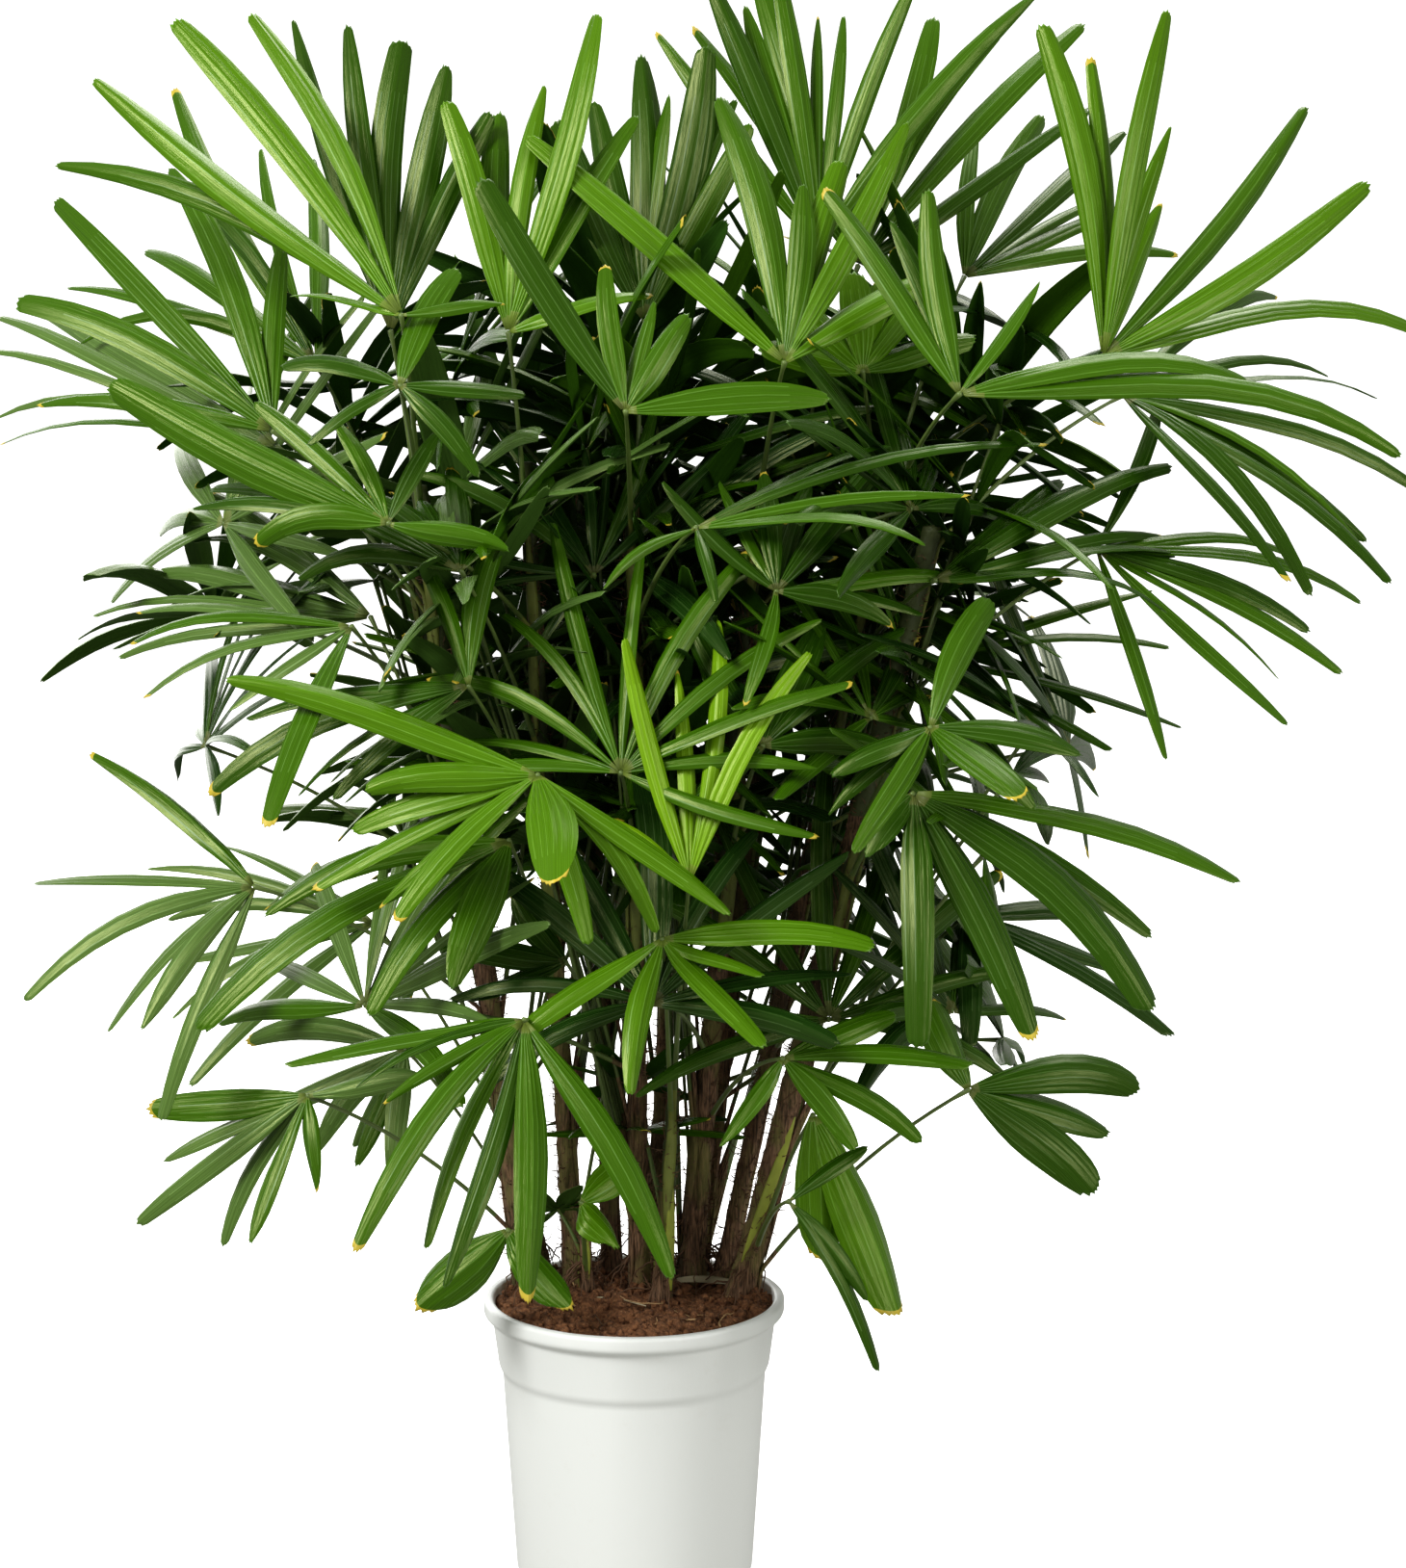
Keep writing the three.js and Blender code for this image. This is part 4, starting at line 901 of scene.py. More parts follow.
# %% The fans at the front
# By cane: tone, slimness, hub (x, y, z), face (turn, tilt), then clock and length of each leaflet.
# The slimness is a leaflet's width as a share of the solid's. The face looks to the front, turned to
# +X and tilted up by those degrees. The clock is the leaflet's direction on that face: 0 up, 90 to
# the right, -90 to the left.
FRONT_FRONDS = {
    "left": [
        ("dusty", 0.85, (-250, -80, 415), (-20, 25),
         (-100, 130, -130, 170, -170, 120, 165, 75, 75, 90)),
        ("dusty", 0.7, (-290, -60, 575), (-15, 36),
         (-56, 185, -94, 175, -124, 195, -154, 140, -166, 190)),
        ("dusty", 0.75, (-210, -90, 780), (-20, 50),
         (-104, 170, -86, 190, -120, 165, -136, 110, 178, 205)),
        ("dusty", 0.55, (-205, 20, 775), (-15, 52), (-68, 230, -82, 260, -100, 210, -52, 220)),
        ("deep", 0.9, (-165, -170, 965), (0, 30), (-75, 90, -125, 80, 140, 90, 90, 90, 20, 110)),
        ("leafy", 0.8, (-270, -60, 925), (-15, 25), (-48, 310, -30, 270, -8, 175, -84, 200, -66, 240)),
        ("dusty", 0.5, (-280, 60, 905), (-20, 46), (-58, 350, -66, 330, -48, 260, -76, 310, -90, 250)),
        ("bright", 0.8, (-165, -150, 1015), (-10, 25),
         (-78, 90, 80, 75, -40, 300, -30, 295, -65, 320, -54, 310)),
        ("deep", 0.7, (-180, -60, 1000), (-10, 20), (-22, 280, -12, 245, -2, 230, 8, 210, 22, 180)),
    ],
    "left_rear": [
        ("dusty", 0.8, (-185, 60, 420), (-20, 30),
         (-145, 110, -165, 100, 175, 110, -90, 150, -120, 140)),
        ("dusty", 0.6, (-215, 130, 510), (-15, 50),
         (-62, 180, -80, 210, -104, 160, -126, 180, -144, 200)),
        ("leafy", 0.55, (-255, 130, 965), (-15, 40),
         (-70, 260, -82, 220, -54, 240, -34, 320, -16, 260)),
    ],
    "left_inner": [
        ("leafy", 0.85, (-75, -240, 510), (0, 35),
         (-100, 175, -125, 120, -148, 215, -165, 205, 178, 215, 150, 215)),
        ("leafy", 0.85, (-90, -140, 625), (-10, 40), (-150, 170, -110, 190, -130, 270, -170, 130)),
        ("bright", 0.95, (-65, -210, 685), (0, 30),
         (-95, 125, -115, 180, -138, 150, 163, 130, 125, 170, -72, 240)),
        ("deep", 0.75, (-120, -130, 740), (-10, 30),
         (-100, 170, -135, 130, -115, 210, 5, 130, -25, 110)),
        ("deep", 0.85, (-125, -120, 825), (-10, 45), (-70, 220, -88, 130, -46, 120, -14, 120, 30, 110)),
        ("leafy", 0.85, (-175, -170, 865), (-10, 25), (-65, 245, -30, 90, 20, 80, -100, 100, 100, 90)),
        ("bright", 0.8, (-90, -90, 1000), (0, 20), (-15, 185, -3, 180, 15, 250, 30, 190, 76, 110)),
    ],
    "middle_rear": [
        ("deep", 0.8, (-50, -100, 525), (0, 35), (-85, 95, -115, 80, -35, 70)),
        ("dusky", 0.58, (-28, -60, 816), (0, 30),
         (-60, 160, -30, 165, -5, 110, 18, 150, 42, 160, -98, 120, -148, 80)),
    ],
    "middle": [
        ("leafy", 0.6, (50, -210, 865), (5, 50),
         (174, 80, 84, 200, 70, 285, 54, 190, 102, 165, -130, 90)),
        ("leafy", 0.66, (0, -230, 950), (0, 20), (-32, 195, 30, 85, 85, 145, -8, 110)),
        ("deep", 0.75, (10, 20, 1005), (-5, 15), (-3, 220, 12, 215, -24, 180, 28, 170)),
    ],
    "right_inner": [
        ("leafy", 0.85, (115, -170, 465), (10, 30), (-140, 80, 70, 95, 95, 140, 145, 85, 122, 120)),
        ("deep", 0.9, (100, -130, 695), (10, 30), (50, 160, 28, 120, -130, 100, -25, 130, 100, 110)),
        ("deep", 0.9, (110, -120, 810), (10, 30),
         (40, 170, -40, 120, 110, 90, 85, 150, 0, 100, -160, 100)),
        ("bright", 0.9, (115, -130, 980), (5, 20), (-45, 260, -10, 220, 8, 140, 28, 210, 58, 130)),
    ],
    "right_rear": [
        ("leafy", 0.7, (145, 40, 1060), (0, 12),
         (-36, 215, -22, 230, -8, 235, 6, 190, 20, 235, 40, 265)),
        ("leafy", 0.7, (178, 105, 1045), (10, 18), (-30, 235, -14, 250, 44, 300, 56, 240, 20, 220)),
    ],
    "right": [
        ("bright", 1.2, (175, -60, 970), (10, 30), (-35, 100, 40, 95, 75, 90, 0, 80, -70, 80)),
        ("deep", 0.6, (230, -90, 815), (15, 55), (100, 180, 78, 220, 62, 250, 46, 200)),
        ("leafy", 0.75, (240, -190, 960), (10, 25), (-27, 185, -4, 155, 38, 110, 88, 215, 99, 330)),
        ("leafy", 0.7, (265, 150, 1035), (15, 40), (16, 160, 32, 210, 48, 240, 62, 200, 80, 200)),
        ("bright", 0.76, (360, -30, 980), (15, 15),
         (-6, 260, 14, 270, 44, 280, 60, 270, 84, 280, 28, 140)),
    ],
    "leaning": [
        ("deep", 0.42, (120, -150, 350), (15, 20), (60, 75, 145, 95, 154, 145)),
        ("bright", 1.1, (140, -80, 400), (10, 20), (160, 165, 178, 110)),
        ("deep", 0.95, (260, -80, 420), (20, 25), (135, 125, -15, 75, 95, 140)),
        ("dusky", 0.7, (265, 60, 530), (15, 45), (-168, 130, 112, 145, 130, 190, 90, 120)),
        ("deep", 1.0, (210, -170, 665), (10, 25), (108, 250, 136, 235, 158, 200, -176, 190, -140, 60)),
        ("leafy", 0.9, (220, -210, 720), (10, 30), (104, 110, 130, 95, 30, 120, -145, 120, -112, 80)),
        ("deep", 0.6, (235, 60, 735), (15, 55), (74, 210, 90, 200, 106, 210, 128, 160, 146, 150)),
        ("leafy", 0.65, (360, 0, 830), (20, 40),
         (34, 160, 92, 180, 110, 210, 128, 210, 146, 200, 176, 180)),
        ("deep", 0.65, (385, 60, 945), (20, 48),
         (54, 260, 164, 220, 146, 260, 130, 220, 112, 270, 90, 230)),
    ],
    "cut_short": [
        ("bright", 0.9, (25, -190, 560), (0, 40), (-125, 140, -170, 125, 140, 115, 112, 80, 95, 155)),
        ("fresh", 0.46, (45, -195, 604), (10, 15), (10, 200, 30, 190, -12, 185, -55, 90)),
    ],
    "small_shoot": [
        ("bright", 0.8, (-40, -60, 325), (0, 30), (50, 55, 140, 45)),
    ],
    "low_shoot": [
        ("leafy", 0.9, (-95, -105, 315), (0, 25), (-130, 90, 140, 75)),
    ],
}
print(sum(len(rows) for rows in FRONT_FRONDS.values()), "fans at the front")

# %% The rule for the others
GOLDEN = 0.381966  # of a turn, from one fan to the next
RULE_LOWEST = 330
RULE_HIGHEST = 30  # below the cane's tip
RULE_SECTOR = 165
RULE_STRAY = 8
RULE_REACH = (130, 300)
RULE_REACH_SHARE = (1, 0.7)
RULE_RISE = (40, 130)
RULE_RISE_SHARE = (0.8, 1.25)
RULE_TILT = (18, 42)
RULE_TURN = 15
RULE_LEAFLETS = (4.6, 6.4)
RULE_SPREAD = 108  # degrees from a fan's middle to its last leaflet
RULE_CLOCK_STRAY = 7
RULE_BLADE = 235
RULE_BLADE_VARIES = (0.85, 1.1)
RULE_LEAFLET_VARIES = (0.9, 1.05)
RULE_SIDE_SHARE = 0.72  # length of the last leaflet, as a share of the middle one's
SEED_STEP = 7919
LEAFLET_SEED = 1000
MULTIPLIER = 16807
MODULUS = 2147483647


class Draws:
    """Park and Miller's generator, which grows a fan again from its number alone."""

    def __init__(self, seed):
        self.state = 1 + seed * SEED_STEP
        self(0, 1)

    def __call__(self, low, high):
        self.state = self.state * MULTIPLIER % MODULUS
        return mix(low, high, self.state / MODULUS)


def face_frame(bearing, tilt):
    """Out of the face, to its right, and up along it."""
    b, t = math.radians(bearing), math.radians(tilt)
    out = np.array([math.cos(t) * math.cos(b), math.cos(t) * math.sin(b), math.sin(t)])
    right = unit(np.cross([0, 0, 1.0], out))
    return out, right, np.cross(out, right)


def spread_leaflets(random, count, longest, varies=None):
    """Leaflets all over a fan, shorter towards its sides. varies is a range for how long each is."""
    leaflets = []
    for i in range(count):
        side = 2 * i / (count - 1) - 1
        clock = RULE_SPREAD * side + random(-RULE_CLOCK_STRAY, RULE_CLOCK_STRAY)
        length = longest * mix(1, RULE_SIDE_SHARE, abs(side))
        leaflets.append(dict(clock=clock, length=length * random(*varies) if varies else length))
    return leaflets


def rule_frond(name, k, number):
    """A fan by the rule: the k-th of its cane, with a number of its own for its random draws."""
    cane = CANES[name]
    random = Draws(number)
    climb = (k + 0.5) / cane["extra"]
    attach = mix(RULE_LOWEST, cane["top"] - RULE_HIGHEST, climb)
    bearing = cane["bearing"] + RULE_SECTOR * ((k * GOLDEN) % 1 - 0.5) + random(-RULE_STRAY, RULE_STRAY)
    reach = random(*RULE_REACH) * mix(*RULE_REACH_SHARE, climb)
    rise = random(*RULE_RISE) * mix(*RULE_RISE_SHARE, climb)
    hub = cane_point(cane, attach) + reach * heading(math.radians(bearing)) + [0, 0, rise]
    count = math.floor(random(*RULE_LEAFLETS) + 0.5)
    longest = RULE_BLADE * random(*RULE_BLADE_VARIES)
    leaflets = spread_leaflets(random, count, longest, RULE_LEAFLET_VARIES)
    turned_to = bearing + random(-RULE_TURN, RULE_TURN)
    face = face_frame(turned_to, random(*RULE_TILT))
    return dict(cane=name, number=number, hub=hub, attach=attach, face=face, leaflets=leaflets)


# %% Where a stalk leaves its cane, and how wide each leaflet is
PETIOLE_SLOPE = 0.45  # how far a stalk rises for its reach
PETIOLE_START = 20
PETIOLE_LENGTH = 180  # of the shortest
SHEATH_INSET = 16  # from the cane's ends
FROND_SPACING = 15
FAN_WIDTH = 152  # of all the leaflets of a fan together
BLADE_WIDTH = (14, 38)
BLADE_WIDTH_VARIES = (0.85, 1.15)
BLADE_FULL_LENGTH = 220
BLADE_GROWTH = (0.55, 1, 1.1)  # width of the shortest, of a full one, and how far past that it goes
BLADE_DIP = (-0.17, 0.1)  # how far the tip stands out of the fan's face, for its length
BLADE_ARCH = 0.2
BLADE_ARCH_VARIES = (0.7, 1.25)
BLADE_ROLL = 24


def attach_height(cane, hub):
    """Height at which the stalk of a fan with this hub leaves the cane."""
    across = math.hypot(hub[0] - cane["tip"][0], hub[1] - cane["tip"][1])
    least_drop = math.sqrt(max(PETIOLE_LENGTH ** 2 - across ** 2, 0))
    drop = max(PETIOLE_SLOPE * across + PETIOLE_START, least_drop)
    return min(max(hub[2] - drop, CANE_FOOT + SHEATH_INSET), cane["top"] - SHEATH_INSET)


def finish_leaflets(frond):
    """Widths, rolls and dips of a fan's leaflets, and its arch."""
    random = Draws(LEAFLET_SEED + frond["number"])
    share = FAN_WIDTH / len(frond["leaflets"])
    least, full, most = BLADE_GROWTH
    for leaflet in frond["leaflets"]:
        growth = mix(least, full, min(leaflet["length"] / BLADE_FULL_LENGTH, most))
        width = share * growth * random(*BLADE_WIDTH_VARIES)
        leaflet["width"] = min(max(width, BLADE_WIDTH[0]), BLADE_WIDTH[1])
        leaflet["roll"] = random(-BLADE_ROLL, BLADE_ROLL)
        leaflet["dip"] = leaflet["length"] * random(*BLADE_DIP)
    frond["arch"] = BLADE_ARCH * random(*BLADE_ARCH_VARIES)


def space_out(own, cane):
    """Keeps the places where fans leave a cane apart, from the lowest up."""
    own.sort(key=lambda frond: frond["attach"])
    for below, frond in zip(own, own[1:]):
        frond["attach"] = max(frond["attach"], below["attach"] + FROND_SPACING)
    for k, frond in enumerate(reversed(own)):
        frond["attach"] = min(frond["attach"], cane["top"] - SHEATH_INSET - FROND_SPACING * k)


# %% Grow the same fans as the solids
fronds = []
for name, rows in FRONT_FRONDS.items():
    for tone, slimness, hub, (turn, tilt), pairs in rows:
        leaflets = [dict(clock=clock, length=length) for clock, length in zip(pairs[::2], pairs[1::2])]
        fronds.append(dict(
            cane=name, number=len(fronds), tone=tone, slimness=slimness, leaflets=leaflets,
            hub=np.array(hub, float), attach=attach_height(CANES[name], hub),
            face=face_frame(turn - 90, tilt),
        ))
FRONT_COUNT = len(fronds)
for name, cane in CANES.items():
    for k in range(cane.get("extra", 0)):
        fronds.append(rule_frond(name, k, len(fronds)))
for frond in fronds:
    finish_leaflets(frond)
for name, cane in CANES.items():
    space_out([frond for frond in fronds if frond["cane"] == name], cane)
print(len(fronds), "fans,", sum(len(frond["leaflets"]) for frond in fronds), "leaflets")

# %% [markdown]
# ## Filling the crown
#
# The solids hold only as many fans as their limit allows. The living crown has more, and its fans
# have more leaflets than the coarse ones at the back. So leaflets are added between two that stand
# wide apart, and smaller fans are grown deep inside, where they close the crown without reaching
# further out than the others.

# %% More leaflets in the coarse fans, and more fans inside
WIDE_GAP = 30  # degrees between leaflets, from which one more fits in
FRONT_GAP = (13, 45)  # the same for the fans at the front, where the gaps that show stay open
FRONT_SHARE = 0.45
FILL_PLACE = (0.4, 0.6)  # between the two, and then as shares of their length and width
FILL_LENGTH = (0.82, 0.98)
FILL_WIDTH = (0.7, 1.0)
FILL_DROP = (5, 25)
INNER_CANES = {
    "left": 7, "left_rear": 7, "left_inner": 11, "middle_rear": 10, "middle": 11, "right_inner": 11,
    "right_rear": 12, "right": 13, "leaning": 8, "rear": 6, "cut_short": 2, "small_shoot": 1,
}
INNER_REACH = (40, 150)
INNER_RISE = (40, 150)
INNER_TILT = (20, 74)
INNER_BLADE = (160, 250)
INNER_CLIMB = (0.36, 0.98)  # of the way up the cane, the lowest and the highest
INNER_STALK = (300, 620)
INNER_LEAFLETS = (4.6, 7.4)
INNER_TURN = 30
INNER_TOWARDS = {"right": 5, "right_rear": 15, "leaning": 10}  # the bearing they keep round on a cane
INNER_SECTOR = 230  # and how far round it they go
INNER_FRONT = -70  # no hub of theirs stands nearer to the front
INNER_FACES = -0.35  # and none that would face the front more than this does
LOW_STALKS = (20, 170)  # above the soil, where the lowest of their stalks start
INNER_SLIMNESS = (0.65, 1.1)
SHORT_CANE = 500  # a cane shorter than this bears smaller fans
# Leaflets that two fans at the front hold out: the fan's number, then clock, length, width and how far.
HELD_OUT = {14: (172, 105, 46, 60), 40: (150, 90, 32, 60)}


def fill_between(frond, low, high, share):
    """Adds a leaflet between some that stand so many degrees apart."""
    random = Draws(3 * LEAFLET_SEED + frond["number"])
    ordered = sorted(frond["leaflets"], key=lambda leaflet: leaflet["clock"])
    for before, after in zip(ordered, ordered[1:]):
        if low < after["clock"] - before["clock"] < high and random(0, 1) < share:
            frond["leaflets"].append(dict(
                clock=mix(before["clock"], after["clock"], random(*FILL_PLACE)),
                length=mix(before["length"], after["length"], 0.5) * random(*FILL_LENGTH),
                width=min(before["width"], after["width"]) * random(*FILL_WIDTH),
                roll=random(-BLADE_ROLL, BLADE_ROLL),
                dip=mix(before["dip"], after["dip"], random(0, 1)) - random(*FILL_DROP),
            ))


def inner_frond(name, k, count, number):
    """The k-th of so many smaller fans inside the crown, all on one cane."""
    cane = CANES[name]
    random = Draws(number)
    climb = mix(*INNER_CLIMB, (k + random(0.2, 0.8)) / count)
    height = mix(CANE_FOOT, cane["top"] - SHEATH_INSET, climb)
    round_it = (k * GOLDEN + random(0, 1)) % 1
    b = 2 * math.pi * round_it
    if name in INNER_TOWARDS:
        b = math.radians(INNER_TOWARDS[name] + INNER_SECTOR * (round_it - 0.5))
    if math.sin(b) < INNER_FACES:
        b = -b
    size = min((cane["top"] - CANE_FOOT) / SHORT_CANE, 1) ** 0.7
    reach = random(*INNER_REACH) * size
    hub = cane_point(cane, height) + reach * heading(b) + [0, 0, random(*INNER_RISE) * size]
    hub[1] = max(hub[1], INNER_FRONT)
    lowest = CANE_FOOT + random(*LOW_STALKS) * size
    attach = min(max(hub[2] - random(*INNER_STALK), lowest), cane["top"] - SHEATH_INSET)
    leaflet_count = round(random(*INNER_LEAFLETS))
    longest = random(*INNER_BLADE) * size
    slimness = random(*INNER_SLIMNESS)
    leaflets = spread_leaflets(random, leaflet_count, longest)
    face = face_frame(math.degrees(b) + random(-INNER_TURN, INNER_TURN), random(*INNER_TILT))
    return dict(
        cane=name, number=number, hub=hub, attach=attach,
        face=face, leaflets=leaflets, slimness=slimness,
    )


for frond in fronds[:FRONT_COUNT]:
    fill_between(frond, *FRONT_GAP, FRONT_SHARE)
for frond in fronds[FRONT_COUNT:]:
    fill_between(frond, WIDE_GAP, 360, 1)
for number, (clock, length, width, dip) in HELD_OUT.items():
    fronds[number]["leaflets"].append(dict(clock=clock, length=length, width=width, dip=dip, roll=0))
grown = len(fronds)
for name, count in INNER_CANES.items():
    for k in range(count):
        fronds.append(inner_frond(name, k, count, len(fronds)))
        finish_leaflets(fronds[-1])
print(grown, "fans as in the solids and", len(fronds) - grown, "more inside")

# %% Deal out their tones
DUSKY_SHARE, DEEP_SHARE = 0.3, 0.35  # of these fans, as painted shade; the others are leafy
TOP_FROM, TOP_BRIGHT = 900, 0.15  # above this height, so many are bright instead, as painted light on the top of the crown
LEFT_FROM, LEFT_PALE_LIT = -60, 0.88  # below it and left of this, so many take the pale tone, as painted light on the left


def dealt_tone(frond):
    """Darker tones as painted shade at the back and deep inside, lighter ones as painted light at the
    top and the left.
    """
    dealt = Draws(2 * LEAFLET_SEED + frond["number"])(0, 1)
    x, _, z = frond["hub"]
    if z > TOP_FROM and dealt > 1 - TOP_BRIGHT:
        return "bright"
    if z < TOP_FROM and x < LEFT_FROM and dealt > 1 - LEFT_PALE_LIT:
        return "dusty"
    if dealt < DUSKY_SHARE:
        return "dusky"
    return "deep" if dealt < DUSKY_SHARE + DEEP_SHARE else "leafy"


for frond in fronds[FRONT_COUNT:]:
    frond["tone"] = dealt_tone(frond)
for tone in TONES:
    print(tone, sum(frond["tone"] == tone for frond in fronds), "fans")

# %% [markdown]
# ## Stalks
#
# A stalk starts as a flat green sheath pressed to its cane, leaves it in an easy bow and thins towards
# the hub. A tube round one curve does both: it follows the cane first, flattened, and then the bow.

# %% Stalks from cane to hub
STALK_FINISHES = [stalk_green, sheath_green, bark.material, sheath_yellow]
STALK, YOUNG_SHEATH, BROWN_SHEATH, YELLOW_SHEATH = range(4)
STALK_RADIUS = 2.5
STALK_TIP_RADIUS = 1.5
STALK_TAPER = 1.5  # how early it thins
STALK_SIDES = 6
STALK_HANDLE = 0.45
STALK_BOW = 0.12
STALK_FLATNESS = 0.6  # where it leaves the cane
BOW_STEPS = 14
HUB_RADIUS = 2.38
SHEATH_LENGTH = 85
SHEATH_RADIUS = 4.8
SHEATH_ENDS = (0.08, 0.72)  # where on a sine its width starts and stops
SHEATH_FLATNESS = 0.42
SHEATH_STEPS = 6
SHEATH_GREEN_FROM = GREEN_FROM - 0.15

swell = np.sin(np.linspace(*SHEATH_ENDS, SHEATH_STEPS) * math.pi)
bow_radii = mix(STALK_TIP_RADIUS, STALK_RADIUS, np.linspace(1, 0, BOW_STEPS) ** STALK_TAPER)
bow_radii[-1] = HUB_RADIUS
flatness = np.concatenate([
    np.full(SHEATH_STEPS, SHEATH_FLATNESS), np.linspace(STALK_FLATNESS, 1, BOW_STEPS),
])
stalk_bunch = Bunch()
for frond in fronds:
    cane, attach, hub = CANES[frond["cane"]], frond["attach"], frond["hub"]
    away = unit((hub - cane_point(cane, attach)) * [1, 1, 0])
    low = max(attach - SHEATH_LENGTH, CANE_FOOT - 2)
    sheath_heights = np.linspace(low, attach, SHEATH_STEPS, endpoint=False)
    sheath_radius = mix(STALK_RADIUS, SHEATH_RADIUS, (attach - low) / SHEATH_LENGTH)
    start = beside_cane(cane, attach, away, 1.2)
    handle = mix(start, hub, STALK_HANDLE) + [0, 0, STALK_BOW * np.linalg.norm(hub - start)]
    path = [beside_cane(cane, height, away, 0.3) for height in sheath_heights]
    path.extend(bow(start, handle, hub, np.linspace(0, 1, BOW_STEPS)))
    radii = np.concatenate([sheath_radius * swell, bow_radii])
    points, faces = tube(path, radii, STALK_SIDES, (away, flatness))
    kinds = [np.full(len(block), STALK) for block in faces]
    young = cane_share(cane, attach) > SHEATH_GREEN_FROM
    kinds[0][:STALK_SIDES * (SHEATH_STEPS + 1)] = YOUNG_SHEATH if young else BROWN_SHEATH
    stalk_bunch.add(points, faces, kinds)

# %% Old yellow-green sheaths low on a few canes
OLD_SHEATHS = [  # heights, bearings in degrees and half the width
    ("leaning", (258, 378), (-125, -48), 4.6), ("cut_short", (234, 335), (-40, -70), 4.4),
    ("left", (232, 300), (-70, -40), 4.5), ("small_shoot", (230, 280), (-100, -60), 3.0),
]
OLD_STEPS = 12
OLD_FLATNESS = 0.3
for name, heights, bearings, half_width in OLD_SHEATHS:
    path = [
        beside_cane(CANES[name], height, heading(math.radians(bearing)), 0)
        for height, bearing in zip(np.linspace(*heights, OLD_STEPS), np.linspace(*bearings, OLD_STEPS))
    ]
    facing = heading(math.radians(sum(bearings) / 2))
    points, faces = strip(path, half_width, (0.03, 0.97), 0.8, facing, OLD_FLATNESS)
    stalk_bunch.add(points, faces, YELLOW_SHEATH)
FROND_NODES = [node for node in NODES if "_fronds_" in node]
seat(stalk_bunch.make("leaf_stalks", STALK_FINISHES), FROND_NODES)

# %% [markdown]
# ## Leaflets
#
# A leaflet is a strap folded into pleats, like a paper fan that stays half open. Along each fold runs
# a pale rib, and each pleat ends in a small tooth that often turns yellow. A flat blade with lines
# painted on would not catch the light as the folds do, so the folds, ribs and teeth are all modelled.
# The blade is a closed sheet with an underside of its own, since the duller underside shows wherever
# a leaflet arches over.

# %% The faces that every leaflet of so many pleats shares
# Each pleat takes three columns: one in the valley and two that carry the rib along its ridge.
ROWS = np.array([0.012, 0.055, 0.12, 0.20, 0.31, 0.43, 0.56, 0.69, 0.81, 0.91, 0.985, 1.0])
RIB_ENDS = 0.8  # how far out along the leaflet a rib shows


def leaflet_plan(pleats):
    """Faces, finishes and folds of a leaflet: a top and a bottom grid, and a tip for each tooth."""
    rows, columns = len(ROWS), 3 * pleats + 1
    grid = rows * columns
    top = grid_faces(rows, columns)
    bottom = grid_faces(rows, columns, grid)[:, ::-1]
    row_of = np.repeat(np.arange(rows - 1), columns - 1)
    column_of = np.tile(np.arange(columns - 1), rows - 1)
    kinds = np.where((column_of % 3 == 1) & (ROWS[row_of] < RIB_ENDS), RIB, BLADE)
    kinds[row_of == rows - 2] = TIP
    kinds[row_of == 0] = HEART
    step = np.arange(rows - 1) * columns
    left = np.stack([step, step + columns, step + columns + grid, step + grid], -1)
    right = left[:, ::-1] + columns - 1
    across = np.arange(columns - 1)
    root = np.stack([across, across + grid, across + 1 + grid, across + 1], -1)
    edges = np.concatenate([left, right, root])
    kinds = np.concatenate([kinds, np.full(len(bottom), UNDER), np.full(len(edges), BLADE)])
    teeth = []
    end = (rows - 1) * columns
    for k in range(pleats):
        tip = 2 * grid + k
        a, b, c, d = (end + 3 * k + i for i in range(4))
        teeth += [(a, b, tip), (b, c, tip), (c, d, tip)]
        teeth += [(b + grid, a + grid, tip), (c + grid, b + grid, tip), (d + grid, c + grid, tip)]
        teeth += [(a, tip, a + grid), (d, d + grid, tip)]
    column = np.arange(columns)
    valleys = np.where(column % 3 == 0, column + 1, 0)
    folds = np.concatenate([np.tile(valleys, rows), np.zeros(grid + pleats, int)])
    quads = np.concatenate([top, bottom, edges])
    return dict(quads=quads, teeth=np.array(teeth), kinds=kinds, folds=folds)


# %% One leaflet
PLEAT_DEPTH = (0.035, 0.12)  # of a pleat's width
ROOT_DEPTH = 0.3  # more of it where the leaflet is folded together at its root
ROOT_LENGTH = 0.3  # of the leaflet, over which that opens out
RIB_WIDTH = 0.8
RIB_MOST = 0.22  # of a pleat's width, to each side
RIB_TIP_SHARE = 0.6
SHEET = 0.45  # thickness
ROOT_WIDTH = 0.13  # of the full width
BELLY = (0.36, 0.60)  # where it is widest
TIP_NARROWS = (0.26, 0.62)  # share of the width that is gone at the tip
TIP_CURVE = 2.4
TIP_ROUND = 0.2  # how far the outer pleats end before the middle one, as a share of the width
ROUND_CURVE = 7  # and how late along the leaflet that starts
SLIM_BELOW = 26  # a leaflet narrower than this ends in more of a point, with smaller teeth
SLIM_POINT = 0.42
NARROWS_MOST = 0.88
CUP = (-0.06, 0.45)  # how far its edges hang, as a share of half its width
CREASE = (0.06, 0.32)  # the fold along its middle, as a share of half its width
UNEVEN = 0.045  # how unlike each other its pleats are
SKYWARD = (0.0, 0.62)  # how far a leaflet turns its upper side to the sky
TURNED_BY = 0.35  # of its length, where it has turned
ARCH_VARIES = (0.10, 0.80)
DROOP = (0.0, 0.13)  # how much higher it arches before it falls to its tip
DROOP_LOST = 1.5  # how soon an upright leaflet loses that
TWIST = 22
SWAY = 0.045
TOOTH = (0.6, 4.2)
GRAIN_APART = 7.3  # from fan to fan, so that no two have the same streaks


